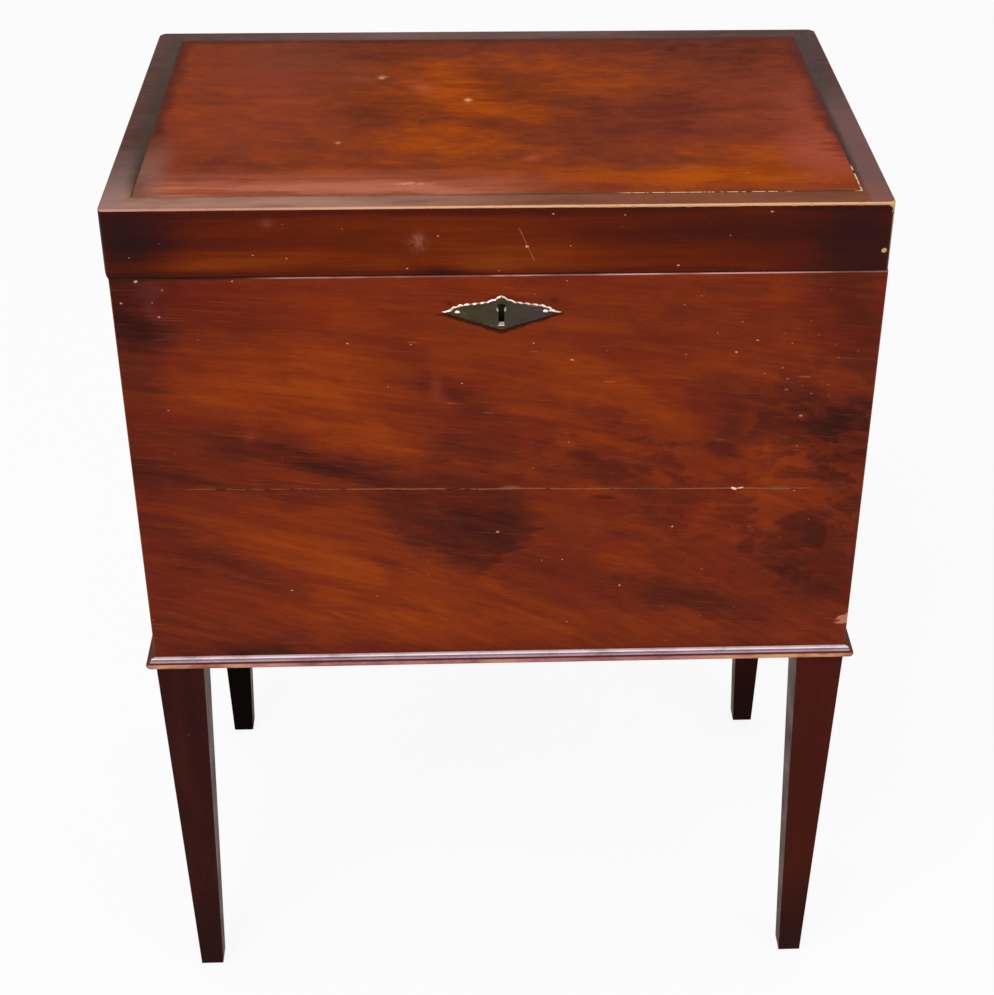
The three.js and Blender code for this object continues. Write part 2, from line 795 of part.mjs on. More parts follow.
function moulding_pieces() {
  const outline = moulding_outline()
  const front = prism(outline, 'x', [-half_width, half_width], { mitre_low: -1, mitre_high: 1 })
  const front_out = mapped(front, ([x, y, z]) => [x, -y, z])
  const side = prism(outline, 'y', [0, case_depth], { mitre_low: -1 })
  const right = mapped(side, ([x, y, z]) => [half_width + x, y, z])
  const left = mapped(side, ([x, y, z]) => [-half_width - x, y, z])
  return [
    piece('moulding_front', front_out, moulding_wood()),
    piece('moulding_left', left, moulding_wood()),
    piece('moulding_right', right, moulding_wood()),
  ]
}

// Case walls
function case_pieces() {
  const full = [0, case_height]
  const across = [-half_width, half_width]
  const lower = block(across, [0, board_thickness], [0, front_lower_height])
  const upper = block(across, [0, board_thickness], [front_lower_height, case_height])
  const back = block(across, [inner_back, case_depth], full)
  const front_sockets = tail_sockets(case_walls, full, false)
  const back_sockets = tail_sockets(case_walls, full, true)
  const keyhole = prism(keyhole_outline(0), 'y', [-cut_overrun, board_thickness + cut_overrun])
  const mortises = hinge_places.flatMap((x) => [...leaf_mortise(x, -1), ...leaf_pilots(x, true)])
  const lock_pilots = lock_screw_places.map((x) => screw_hole([x, lock_middle_y, case_height], down))
  const pin_cuts = pin_holes([-cut_overrun, escutcheon_pin_length + joint_gap - escutcheon_thickness])
  const side = (x_range) => without(side_wall(x_range, full), bottom_groove(), ...long_grooves())
  const lower_cut = without(lower, ...front_sockets, bottom_groove(), ...cross_grooves())
  const back_cut = without(back, ...back_sockets, bottom_groove(), ...cross_grooves(), ...mortises)
  return [
    piece('front_lower_board', lower_cut, case_wood()),
    piece('front_upper_board', without(
      upper, ...front_sockets, ...cross_grooves(), ...lock_recess(), ...lock_pilots, keyhole, ...pin_cuts,
    ), case_wood()),
    piece('back_board', back_cut, case_wood()),
    piece('side_left', side(case_walls.left), case_wood()),
    piece('side_right', side(case_walls.right), case_wood()),
  ]
}

// Lid box, in the same frame, above the seam
const lid_left = -half_width - lid_left_overhang
const lid_right = half_width
const lid_walls = wall_ranges(lid_left, lid_right)
const lid_top = case_height + lid_height
const rim_top = lid_top - veneer_thickness
const rim_range = [seam, rim_top]
const lid_board_floor = rim_top - lid_board_thickness
const rebate_x = [lid_walls.left[1] - lid_board_rebate, lid_walls.right[0] + lid_board_rebate]
const rebate_y = [board_thickness - lid_board_rebate, inner_back + lid_board_rebate]

function link_recess() {
  return block(
    widened([-link_width / 2, link_width / 2]), link_y_cut, [seam - cut_overrun, seam + link_thickness],
  )
}

const link_y = [lock_face, board_thickness]
const link_y_cut = [link_y[0] - joint_gap, board_thickness + cut_overrun]
const link_screw_places = [-1, 1].map((side) => side * (link_width / 2 - link_screw_inset))

function rim_pieces() {
  const across = [lid_left, lid_right]
  const rebate = block(rebate_x, rebate_y, [lid_board_floor, rim_top + cut_overrun])
  const tail_range = [seam, lid_board_floor]
  const front_sockets = tail_sockets(lid_walls, tail_range, false)
  const back_sockets = tail_sockets(lid_walls, tail_range, true)
  const front = block(across, [0, board_thickness], rim_range)
  const back = block(across, [inner_back, case_depth], rim_range)
  const link_pilots = link_screw_places.map((x) => screw_hole([x, lock_middle_y, seam], up))
  const mortises = hinge_places.flatMap((x) => [...leaf_mortise(x, 1), ...leaf_pilots(x, false)])
  const side = (x_range) => without(joined(
    block(x_range, [board_thickness, inner_back], rim_range),
    ...dovetails(x_range, tail_range, board_thickness, dovetail_lap, 0),
    ...dovetails(x_range, tail_range, inner_back, case_depth - dovetail_lap, 0),
  ), rebate)
  const front_cut = without(front, rebate, ...front_sockets, link_recess(), ...link_pilots)
  return [
    piece('lid_rim_front', front_cut, lid_wood()),
    piece('lid_rim_back', without(back, rebate, ...back_sockets, ...mortises), lid_wood()),
    piece('lid_rim_left', side(lid_walls.left), lid_wood()),
    piece('lid_rim_right', side(lid_walls.right), lid_wood()),
  ]
}

// Crossbanding section, [inward, up]: the outer top arris is rounded
function band_outline() {
  const radius = veneer_thickness * band_arris_share
  const arris = arc_points([radius, lid_top - radius], radius, Math.PI, Math.PI / 2, arris_steps)
  return [[0, rim_top], ...arris, [band_width, lid_top], [band_width, rim_top]]
}

function string_outline() {
  const inner = band_width + string_width
  return [[band_width, rim_top], [band_width, lid_top], [inner, lid_top], [inner, rim_top]]
}

// Four mitred strips round the lid's top from one section
function framed(names, outline, material) {
  const along_x = prism(outline, 'x', [lid_left, lid_right], { mitre_low: 1, mitre_high: -1 })
  const along_y = prism(outline, 'y', [0, case_depth], { mitre_low: 1, mitre_high: -1 })
  return [
    piece(names[0], along_x, material()),
    piece(names[1], mapped(along_x, ([x, y, z]) => [x, case_depth - y, z]), material()),
    piece(names[2], mapped(along_y, ([x, y, z]) => [lid_left + x, y, z]), material()),
    piece(names[3], mapped(along_y, ([x, y, z]) => [lid_right - x, y, z]), material()),
  ]
}

function lid_top_pieces() {
  const border = band_width + string_width
  const board = block(rebate_x, rebate_y, [lid_board_floor, rim_top])
  const field_x = [lid_left + border, lid_right - border]
  const field = block(field_x, [border, case_depth - border], [rim_top, lid_top])
  const names = (kind) => ['front', 'back', 'left', 'right'].map((place) => `lid_${kind}_${place}`)
  return [
    piece('lid_board', board, inner_wood()),
    piece('lid_field', field, field_veneer()),
    ...framed(names('band'), band_outline(), band_veneer),
    ...framed(names('string'), string_outline(), string_wood),
  ]
}

function link_pieces() {
  const plate = block([-link_width / 2, link_width / 2], link_y, [seam, seam + link_thickness])
  const hook_z = [hook_bottom, seam + link_thickness / 2]
  const hooks = hook_places.map((x) => block(around(x, hook_thickness), hook_y, hook_z))
  const eyes = hook_places.map((x) => block(around(x, hook_thickness + cut_overrun), eye_y, eye_z))
  const holes = link_screw_places.map((x) => screw_hole([x, lock_middle_y, seam], up))
  return [
    piece('link_plate', without(joined(plate, ...hooks), ...eyes, ...holes), aged_brass()),
    screw('link_screw_left', [link_screw_places[0], lock_middle_y, seam], up),
    screw('link_screw_right', [link_screw_places[1], lock_middle_y, seam], up),
  ]
}

function hinge_pieces(on_case) {
  const half = on_case ? 'case' : 'lid'
  return hinge_places.flatMap((x, side) => {
    const hand = ['left', 'right'][side]
    const face = hinge_axis_height + (on_case ? -1 : 1) * leaf_face
    const screws = leaf_screw_places(x).map(([at, y], step) => screw(
      `hinge_${hand}_${half}_screw_${step + 1}`, [at, y, face], on_case ? down : up,
    ))
    const pins = on_case ? [hinge_pin(`hinge_${hand}_pin`, x)] : []
    return [leaf(`hinge_${hand}_${half}_leaf`, x, on_case), ...screws, ...pins]
  })
}

const legs = [
  leg('leg_front_left', -1, -1),
  leg('leg_front_right', 1, -1),
  leg('leg_back_left', -1, 1),
  leg('leg_back_right', 1, 1),
]

const case_group = new THREE.Group()
case_group.add(
  ...case_pieces(), bottom_piece(), ...bearer_pieces(), ...legs, ...moulding_pieces(), ...divider_pieces(),
  ...escutcheon_pieces(), ...lock_pieces(), ...hinge_pieces(true),
)

const bolt_group = new THREE.Group()
bolt_group.add(bolt_piece())

const lid_group = new THREE.Group()
lid_group.add(...rim_pieces(), ...lid_top_pieces(), ...link_pieces(), ...hinge_pieces(false))

const cellarette = new THREE.Group()
cellarette.add(case_group, bolt_group, lid_group)
cellarette.position.set(0, -(whole_front + whole_back) / 2, leg_height)

export default cellarette
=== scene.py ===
import json
import math
from functools import cached_property, partialmethod

import bmesh
import bpy
from mathutils import Matrix, Vector
from mathutils.geometry import tessellate_polygon

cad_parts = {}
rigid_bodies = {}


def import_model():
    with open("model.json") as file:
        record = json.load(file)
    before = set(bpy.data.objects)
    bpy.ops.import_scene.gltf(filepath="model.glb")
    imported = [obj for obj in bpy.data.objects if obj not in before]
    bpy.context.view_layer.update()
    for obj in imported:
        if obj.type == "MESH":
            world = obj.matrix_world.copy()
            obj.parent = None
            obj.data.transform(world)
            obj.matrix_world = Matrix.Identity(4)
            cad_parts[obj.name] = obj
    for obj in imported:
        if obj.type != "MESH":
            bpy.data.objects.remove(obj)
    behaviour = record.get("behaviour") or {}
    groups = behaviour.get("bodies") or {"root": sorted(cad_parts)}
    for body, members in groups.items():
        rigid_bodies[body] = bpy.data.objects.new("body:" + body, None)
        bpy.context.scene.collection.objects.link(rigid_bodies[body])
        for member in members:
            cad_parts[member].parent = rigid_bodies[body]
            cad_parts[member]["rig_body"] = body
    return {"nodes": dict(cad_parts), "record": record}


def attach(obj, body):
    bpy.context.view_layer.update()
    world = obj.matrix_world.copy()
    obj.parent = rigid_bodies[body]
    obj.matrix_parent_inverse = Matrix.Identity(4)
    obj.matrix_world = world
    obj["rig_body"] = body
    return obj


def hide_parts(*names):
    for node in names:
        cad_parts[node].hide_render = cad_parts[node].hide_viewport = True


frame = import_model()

nodes = frame["nodes"]
slots = {part["node"]: part["material_slot"] for part in frame["record"]["subparts"]}
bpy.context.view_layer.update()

# Places in millimetres at rest: the outer boxes of the case and the lid, the seam between them, the one
# between the front boards, and the edges of the lid's field. What is deeper than WALL is an inner face.
CASE_LOW, CASE_HIGH = (-248, -160.25, 309), (248, 161.75, 615)
LID_LOW, LID_HIGH = (-250, -160.25, 615.3), (248, 161.75, 662.5)
SEAM_HEIGHT = CASE_HIGH[2]
BOARD_SEAM = 454
FIELD_X, FIELD_Y = (-231, 229), (-141.2, 142.7)
WALL = 11
LID_RADII = (3.5, 8)  # of the lid's upright corners, in front and at the back

# Bevels of the arrises and depth of the grain's relief, in metres
CASE_BEVEL, RIM_BEVEL, BAND_BEVEL, LEG_BEVEL = 0.0007, 0.0009, 0.0005, 0.0006
GRAIN_DEPTH = 0.00022


# Camera, light and stage


def add_camera():
    """A pinhole camera fitted to the photograph's edges, for a 994 x 995 picture."""
    focal, centre_x, centre_y = 1929.02, 531.69, 496.06
    width, height = 994, 995
    place = (-0.02764, -1.26682, 1.15967)
    yaw, pitch, roll = math.radians(2.49), math.radians(32.73), math.radians(0.47)
    forward = Vector((
        math.sin(yaw) * math.cos(pitch), math.cos(yaw) * math.cos(pitch), -math.sin(pitch),
    ))
    level = Vector((math.cos(yaw), -math.sin(yaw), 0.0))
    upward = level.cross(forward)
    right = math.cos(roll) * level + math.sin(roll) * upward
    up = -math.sin(roll) * level + math.cos(roll) * upward
    data = bpy.data.cameras.new("camera")
    data.sensor_width = 36.0
    data.lens = data.sensor_width * focal / height
    data.shift_x = (width / 2 - centre_x) / height
    data.shift_y = (centre_y - height / 2) / height
    camera = bpy.data.objects.new("camera", data)
    turn = Matrix((right, up, -forward)).transposed()
    camera.matrix_world = Matrix.Translation(place) @ turn.to_4x4()
    bpy.context.scene.collection.objects.link(camera)
    bpy.context.scene.camera = camera


def add_light(name, place, target, size, power):
    data = bpy.data.lights.new(name, "AREA")
    data.shape, data.size, data.energy = "DISK", size, power
    light = bpy.data.objects.new(name, data)
    light.location = place
    light.rotation_euler = (Vector(target) - Vector(place)).to_track_quat("-Z", "Y").to_euler()
    bpy.context.scene.collection.objects.link(light)


def add_world():
    """White all round, a little weaker as light on the piece than as what camera and polish see."""
    world = bpy.data.worlds.new("studio")
    bpy.context.scene.world = world
    tree = Nodes(world)
    lit = tree.node("ShaderNodeBackground", {"Color": (1, 1, 1, 1), "Strength": 0.75})
    seen = tree.node("ShaderNodeBackground", {"Color": (1, 1, 1, 1), "Strength": 1})
    mixed = tree.node("ShaderNodeMixShader", {0: tree.seen_rays(), 1: lit, 2: seen})
    tree.node("ShaderNodeOutputWorld", {"Surface": mixed})


def add_floor():
    """A pale floor that keeps the shadow; the seen rays find it nearly white."""
    mesh = bpy.data.meshes.new("floor")
    reach, white_share = 30, 0.88
    corners = [(-reach, -reach, 0), (reach, -reach, 0), (reach, reach, 0), (-reach, reach, 0)]
    mesh.from_pydata(corners, [], [(0, 1, 2, 3)])
    floor = bpy.data.objects.new("floor", mesh)
    bpy.context.scene.collection.objects.link(floor)
    material = bpy.data.materials.new("floor")
    tree = Nodes(material)
    seam_shade = tree.node("ShaderNodeBsdfPrincipled", {
        "Base Color": (0.85, 0.85, 0.85, 1), "Roughness": 1, "Specular IOR Level": 0,
    })
    white = tree.node("ShaderNodeEmission", {"Strength": 1})
    mixed = tree.node("ShaderNodeMixShader", {0: tree.seen_rays() * white_share, 1: seam_shade, 2: white})
    tree.node("ShaderNodeOutputMaterial", {"Surface": mixed})
    mesh.materials.append(material)


# Worn arrises


def cut_off(work, place, outward):
    """Cuts away what lies beyond a plane, and closes the cut."""
    cut = bmesh.ops.bisect_plane(
        work, geom=[*work.verts, *work.edges, *work.faces], dist=1e-7, plane_co=place, plane_no=outward,
        clear_outer=True,
    )
    edges = [part for part in cut["geom_cut"] if isinstance(part, bmesh.types.BMEdge)]
    if edges:
        bmesh.ops.holes_fill(work, edges=edges, sides=0)


def round_corners(work, low, high, radii, steps=6):
    """Cuts the four upright corners of a box, given in millimetres, to a front and a back radius."""
    for side_x, side_y in ((-1, -1), (1, -1), (1, 1), (-1, 1)):
        radius = radii[0] if side_y < 0 else radii[1]
        corner_x, corner_y = (low[0] if side_x < 0 else high[0]), (low[1] if side_y < 0 else high[1])
        for step in range(steps):
            angle = math.radians(90 * (step + 0.5) / steps)
            outward = Vector((side_x * math.cos(angle), side_y * math.sin(angle), 0.0))
            middle = Vector((corner_x - side_x * radius, corner_y - side_y * radius, 0.0))
            cut_off(work, (middle + outward * radius) / 1000, outward)


def round_foot(work, left, foot, inward=2.6, upward=7.0):
    """Wears away the lower left arris of a box, given its left and its foot in millimetres."""
    for degrees in (14, 38, 64):
        angle = math.radians(degrees)
        place = Vector((left + inward * (1 - math.cos(angle)), 0.0, foot + upward * (1 - math.sin(angle))))
        outward = Vector((-math.cos(angle) / inward, 0.0, -math.sin(angle) / upward)).normalized()
        cut_off(work, place / 1000, outward)


def eased(name, planes, width, least=0.02, corners=None, foot=False):
    """A copy of a node with its long outer arrises rounded, in place of the node.

    An arris longer than least is taken where both its ends lie on two of the planes, each an axis and a
    place in metres, or anywhere without planes. corners, a box's low, high and radii, rounds the box's
    upright corners first, and foot wears its lower left arris.
    """
    work = bmesh.new()
    work.from_mesh(nodes[name].data)
    bmesh.ops.remove_doubles(work, verts=work.verts, dist=2e-6)
    bmesh.ops.dissolve_limit(work, angle_limit=math.radians(0.5), verts=work.verts, edges=work.edges,
                             use_dissolve_boundaries=False)
    if corners:
        round_corners(work, *corners)
    if foot:
        round_foot(work, corners[0][0], corners[0][2])

    def on(edge, axis, place):
        return all(abs(v.co[axis] - place) < 2e-5 for v in edge.verts)

    arrises = [
        edge for edge in work.edges
        if edge.calc_length() > least and (not planes or sum(on(edge, *plane) for plane in planes) >= 2)
    ]
    bmesh.ops.bevel(work, geom=arrises, offset=width, segments=3, profile=0.5, affect="EDGES",
                    clamp_overlap=False)
    return stand_in(name, work)


def stand_in(name, work):
    """Closes a mesh and makes it the piece that stands for a node."""
    bmesh.ops.recalc_face_normals(work, faces=work.faces)
    for face in work.faces:
        face.smooth = True
    mesh = bpy.data.meshes.new(name + "_worn")
    work.to_mesh(mesh)
    work.free()
    mesh.set_sharp_from_angle(angle=math.radians(38))
    piece = bpy.data.objects.new(name + "_worn", mesh)
    bpy.context.scene.collection.objects.link(piece)
    normals = piece.modifiers.new("flat faces", "WEIGHTED_NORMAL")
    normals.keep_sharp = True
    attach(piece, nodes[name]["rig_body"])
    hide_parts(name)
    return piece


def planes_of(low, high):
    """The planes of a box, each an axis and a place in metres."""
    return [(axis, corner[axis] / 1000) for corner in (low, high) for axis in range(3)]


# Base moulding and lozenge plate


def arc(centre, radius, start, end, steps):
    """Points of an arc in a plane, angles in degrees."""
    angles = [math.radians(start + (end - start) * step / steps) for step in range(steps + 1)]
    return [(centre[0] + radius * math.cos(a), centre[1] + radius * math.sin(a)) for a in angles]


# The moulding's section from its foot up, outward from the case and up from its foot, in millimetres
MOULDING = [
    (0.0, 0.0), *arc((4.7, 1.8), 1.8, -90, 80, 10), (4.1, 3.6), *arc((3.25, 4.4), 0.75, -60, 80, 6),
    (2.6, 5.15), *arc((1.85, 6.1), 0.75, -58, 88, 6), (0.0, 7.0),
]
CORNER_BACK = 2.5


def moulding_points(side, turn):
    """The section at a front corner, turned from the front (0) to the side (90); side is -1 or 1."""
    corner_x, corner_y = side * CASE_HIGH[0], CASE_LOW[1]
    angle = math.radians(turn)
    points = []
    for out, up in MOULDING:
        square, round_part = min(out, CORNER_BACK), max(out - CORNER_BACK, 0.0)
        x = corner_x + side * (square + round_part * math.sin(angle))
        y = corner_y - square - round_part * math.cos(angle)
        points.append((x / 1000, y / 1000, (CASE_LOW[2] + up) / 1000))
    return points


def skinned(work, sections):
    """Faces between closed rows of points, one row after the other; returns the rings of vertices."""
    rings = [[work.verts.new(point) for point in section] for section in sections]
    for ring, following in zip(rings, rings[1:]):
        for i in range(len(ring)):
            j = (i + 1) % len(ring)
            work.faces.new((ring[i], ring[j], following[j], following[i]))
    return rings


def moulding_piece(name):
    """One length of moulding with rounded front corners, swept through its sections."""
    if name == "moulding_front":
        sections = [moulding_points(-1, turn) for turn in (45, 34, 23, 11, 0)]
        sections += [moulding_points(1, turn) for turn in (0, 11, 23, 34, 45)]
    else:
        side = -1 if name == "moulding_left" else 1
        sections = [moulding_points(side, turn) for turn in (45, 56, 67, 79, 90)]
        sections.append([
            (side * (CASE_HIGH[0] + out) / 1000, CASE_HIGH[1] / 1000, (CASE_LOW[2] + up) / 1000)
            for out, up in MOULDING
        ])
    work = bmesh.new()
    rings = skinned(work, sections)
    work.faces.new(rings[0])
    work.faces.new(rings[-1])
    bmesh.ops.remove_doubles(work, verts=work.verts, dist=1e-6)
    return stand_in(name, work)


PLATE_HEIGHT, KEYHOLE_HEIGHT = 588.4, 592.2
PIN_PLACES = [(-28.3, 589.1), (28.3, 589.1)]
# Half of the plate's outline, from its tip to its top and to its foot; the tips are plain tongues
PLATE_TOP = [(38.7, 0.6), (34.4, 1.7), (31.3, 4.2), (26.6, 6.0), (10.0, 8.1), (4.0, 10.4), (0.0, 12.8)]
PLATE_FOOT = [(38.7, 0.6), (34.0, -1.4), (0.0, -12.8)]
TONGUE = 6
PLATE_TURN = 0.012
PLATE_TAPER = 0.084  # share by which the outline shrinks for each millimetre of its bevel


def scalloped(path, scallops=7, depth=0.6, steps=8):
    """Points along a path, all but its last, with small lobes beyond the tongue."""
    lengths = [math.dist(a, b) for a, b in zip(path, path[1:])]
    total = sum(lengths)
    count = (scallops + 1) * steps
    points = []
    for step in range(count):
        along = gone = total * step / count
        for (start, end), length in zip(zip(path, path[1:]), lengths):
            if gone <= length:
                break
            gone -= length
        share = gone / length
        out_x = abs(end[1] - start[1]) / length
        out_z = math.copysign(abs(end[0] - start[0]) / length, path[-1][1])
        lobes = max(along - TONGUE, 0.0) / (total - TONGUE) * scallops
        swell = (abs(math.sin(math.pi * lobes)) ** 0.8 - 1.0) * depth if lobes else 0.0
        points.append((start[0] + (end[0] - start[0]) * share + out_x * swell,
                       start[1] + (end[1] - start[1]) * share + out_z * swell))
    return points


def lozenge(inset):
    """The plate's whole outline, made smaller by inset all round, as x and z in millimetres."""
    top, foot = scalloped(PLATE_TOP), scalloped(PLATE_FOOT)
    right = [*top, PLATE_TOP[-1]]
    outline = right + [(-x, z) for x, z in reversed(top)]
    outline += [(-x, z) for x, z in foot[1:]] + [PLATE_FOOT[-1]] + list(reversed(foot[1:]))
    smaller = 1 - PLATE_TAPER * inset
    return [(x * smaller, PLATE_HEIGHT + z * smaller - PLATE_TURN * x) for x, z in outline]


def keyhole(grown):
    slot, radius = 1.8 + grown, 3.0 + grown
    opening = math.degrees(math.asin(slot / radius))
    round_part = arc((0.0, KEYHOLE_HEIGHT), radius, -90 + opening, 270 - opening, 24)
    floor = KEYHOLE_HEIGHT - 12.3 - grown
    return [*round_part, (-slot, floor), (slot, floor)]


def lozenge_plate():
    """The brass plate: bevelled scallops round it, a small bevel round the keyhole, and two pin holes."""
    back, front, edge = CASE_LOW[1], CASE_LOW[1] - 1.2, CASE_LOW[1] - 0.45
    pins = [arc(place, 1.05, 0, 337.5, 15) for place in PIN_PLACES]
    loops = [
        [(lozenge(0.0), back), (lozenge(0.0), edge), (lozenge(0.75), front)],
        [(keyhole(0.0), back), (keyhole(0.0), front + 0.3), (keyhole(0.3), front)],
    ] + [[(pin, back), (pin, front)] for pin in pins]
    work = bmesh.new()
    backs, fronts = [], []
    for loop in loops:
        rings = skinned(work, [[(x / 1000, y / 1000, z / 1000) for x, z in outline] for outline, y in loop])
        backs.append(rings[0])
        fronts.append(rings[-1])
    for group in (backs, fronts):
        every = [vert for ring in group for vert in ring]
        for corners in tessellate_polygon([[Vector((v.co.x, v.co.z, 0)) for v in ring] for ring in group]):
            work.faces.new([every[corner] for corner in corners])
    return stand_in("escutcheon", work)


# Shader building


def srgb(red, green, blue):
    """A colour as eyes name it, 0 to 255, turned into the linear one that a shader takes."""
    def linear(value):
        share = value / 255
        return share / 12.92 if share <= 0.04045 else ((share + 0.055) / 1.055) ** 2.4
    return (linear(red), linear(green), linear(blue), 1)


ONE_OVER_E = 0.3679  # base of the falling curve that softens a patch


class Value:
    """A number, place or colour that a shader works out. Sums of values make its Math nodes."""

    def __init__(self, shader, socket):
        self.shader, self.socket = shader, socket

    def math(self, operation, *others, clamp=False):
        return self.shader.math(operation, self, *others, clamp=clamp)

    __add__ = __radd__ = partialmethod(math, "ADD")
    __sub__ = partialmethod(math, "SUBTRACT")
    __mul__ = partialmethod(math, "MULTIPLY")
    __truediv__ = partialmethod(math, "DIVIDE")
    __pow__ = partialmethod(math, "POWER")
    __lt__ = partialmethod(math, "LESS_THAN")
    __gt__ = partialmethod(math, "GREATER_THAN")
    __abs__ = partialmethod(math, "ABSOLUTE")
    sign = partialmethod(math, "SIGN")
    most = partialmethod(math, "MAXIMUM")
    least = partialmethod(math, "MINIMUM")
    capped = partialmethod(math, "ADD", 0, clamp=True)

    def __rsub__(self, other):
        return self.shader.math("SUBTRACT", other, self)

    def span(self, low, high, start=0, end=1, smooth=True):
        """The value's way from low to high, turned into start to end."""
        return self.shader.node(
            "ShaderNodeMapRange", {0: self, 1: low, 2: high, 3: start, 4: end},
            interpolation_type="SMOOTHSTEP" if smooth else "LINEAR", clamp=True,
        )


class Nodes:
    """The nodes of a new material or world; any input may be a number, colour or value."""

    def __init__(self, owner):
        owner.use_nodes = True
        self.tree = owner.node_tree
        self.tree.nodes.clear()

    def node(self, kind, inputs, output=0, **settings):
        made = self.tree.nodes.new(kind)
        for key, value in settings.items():
            setattr(made, key, value)
        for key, value in inputs.items():
            if isinstance(value, Value):
                self.tree.links.new(value.socket, made.inputs[key])
            else:
                made.inputs[key].default_value = value
        return Value(self, made.outputs[output]) if len(made.outputs) else None

    def math(self, operation, a, b=0, clamp=False):
        return self.node("ShaderNodeMath", {0: a, 1: b}, operation=operation, use_clamp=clamp)

    def seen_rays(self):
        """1 for camera, glossy and transmission rays, else 0."""
        names = ("Is Camera Ray", "Is Glossy Ray", "Is Transmission Ray")
        camera, glossy, through = (self.node("ShaderNodeLightPath", {}, name) for name in names)
        return camera.most(glossy).most(through)


class Shader(Nodes):
    """Builds one material, with places in millimetres at rest."""

    def __init__(self, name):
        self.material = bpy.data.materials.new(name)
        super().__init__(self.material)
        self.normal = self.split(self.node("ShaderNodeTexCoord", {}, "Normal"))
        metres = self.node("ShaderNodeTexCoord", {}, "Object")
        self.place = self.vector("MULTIPLY", metres, (1000, 1000, 1000))
        self.x, self.y, self.z = self.split(self.place)

    def vector(self, operation, a, b, output=0):
        return self.node("ShaderNodeVectorMath", {0: a, 1: b}, output, operation=operation)

    def split(self, vector):
        made = self.tree.nodes.new("ShaderNodeSeparateXYZ")
        self.tree.links.new(vector.socket, made.inputs[0])
        return [Value(self, socket) for socket in made.outputs]

    def join(self, x, y, z=0):
        return self.node("ShaderNodeCombineXYZ", {0: x, 1: y, 2: z})

    def scaled(self, place, sizes, shift=(0, 0, 0)):
        """Coordinates that grow by 1 over each of the sizes, in millimetres."""
        grown = self.vector("MULTIPLY", place, tuple(1 / size for size in sizes))
        return self.vector("ADD", grown, shift)

    def noise(self, place, sizes, detail, roughness=0.5, distortion=0, shift=(0, 0, 0), output=0):
        """Noise in blots of the given sizes; output 0 is a number, 1 is three of them."""
        inputs = {"Vector": self.scaled(place, sizes, shift), "Scale": 1, "Detail": detail,
                  "Roughness": roughness, "Distortion": distortion}
        return self.node("ShaderNodeTexNoise", inputs, output=output)

    def cloud(self, sizes, detail, roughness=0.5, shift=(0, 0, 0)):
        """Noise with its sizes along x, y and z."""
        return self.noise(self.place, sizes, detail, roughness, shift=shift)

    def cells(self, place, output, flat=False):
        """Voronoi cells: output 0 is the distance to a cell's point, 1 is its own random colour."""
        return self.node(
            "ShaderNodeTexVoronoi", {"Vector": place, "Scale": 1}, output=output,
            voronoi_dimensions="2D" if flat else "3D",
        )

    def mix(self, share, a, b, blend="MIX"):
        """From colour a to colour b, each from 0 to 255 or a value, by a share that is kept from 0 to 1."""
        a, b = (colour if isinstance(colour, Value) else srgb(*colour) for colour in (a, b))
        return self.node("ShaderNodeMix", {0: share, 6: a, 7: b}, output=2, data_type="RGBA",
                         blend_type=blend, clamp_factor=True)

    def stain(self, tint, share, blend="MIX"):
        """Lays a tint over the material's colour by a share."""
        self.colour = self.mix(share, self.colour, tint, blend)

    def ramp(self, value, stops):
        """A colour ramp; each stop is a place and a colour from 0 to 255."""
        made = self.tree.nodes.new("ShaderNodeValToRGB")
        self.tree.links.new(value.socket, made.inputs[0])
        elements = made.color_ramp.elements
        while len(elements) < len(stops):
            elements.new(0.5)
        for element, (position, colour) in zip(elements, stops):
            element.position = position
            element.color = srgb(*colour)
        return Value(self, made.outputs[0])

    def patches(self, place, rows, total=0, strength=1, grown=1.35):
        """Adds up soft oval patches: each row is u, v, half length, half width, angle, amount.

        The total so far goes along as the third coordinate, scaled to nothing, so that the patches are
        worked out one after the other and not all at once.
        """
        u, v, _ = self.split(place)
        for place_u, place_v, length, width, angle, amount in rows:
            inputs = {
                "Vector": self.join(u, v, total), "Location": (place_u, place_v, 0),
                "Rotation": (0, 0, math.radians(angle)), "Scale": (length * grown, width * grown, 1e6),
            }
            inside = self.node("ShaderNodeMapping", inputs, vector_type="TEXTURE")
            squared = self.vector("DOT_PRODUCT", inside, inside, output=1)
            total += self.math("POWER", ONE_OVER_E, squared) * (amount * strength)
        return total

    def near_arris(self, low, high, reach, roughened):
        """1 on the arrises of a box, fading to 0 over reach; roughened moves the fade by noise.

        Only there is the middle one of the distances to the box's three nearest sides small.
        """
        ends = zip((self.x, self.y, self.z), low, high)
        a, b, c = (abs((value - start).least(end - value)) for value, start, end in ends)
        middle = a.least(b).most(a.most(b).least(c))
        return (middle + roughened * (reach * 2)).span(reach * 1.5, reach * 0.9)

    def finish(self, roughness, height, depth, metallic=0, specular=0.2, tint=(1, 1, 1, 1)):
        """Closes the material; depth is the bump's, in metres."""
        surface = self.node("ShaderNodeBsdfPrincipled", {
            "Base Color": self.colour, "Roughness": roughness, "Metallic": metallic,
            "Specular IOR Level": specular, "Specular Tint": tint,
            "Normal": self.node("ShaderNodeBump", {"Height": height, "Distance": depth, "Strength": 1}),
        })
        self.node("ShaderNodeOutputMaterial", {"Surface": surface})
        return self.material


# Wood


WARM = (1, 0.45, 0.25, 1)


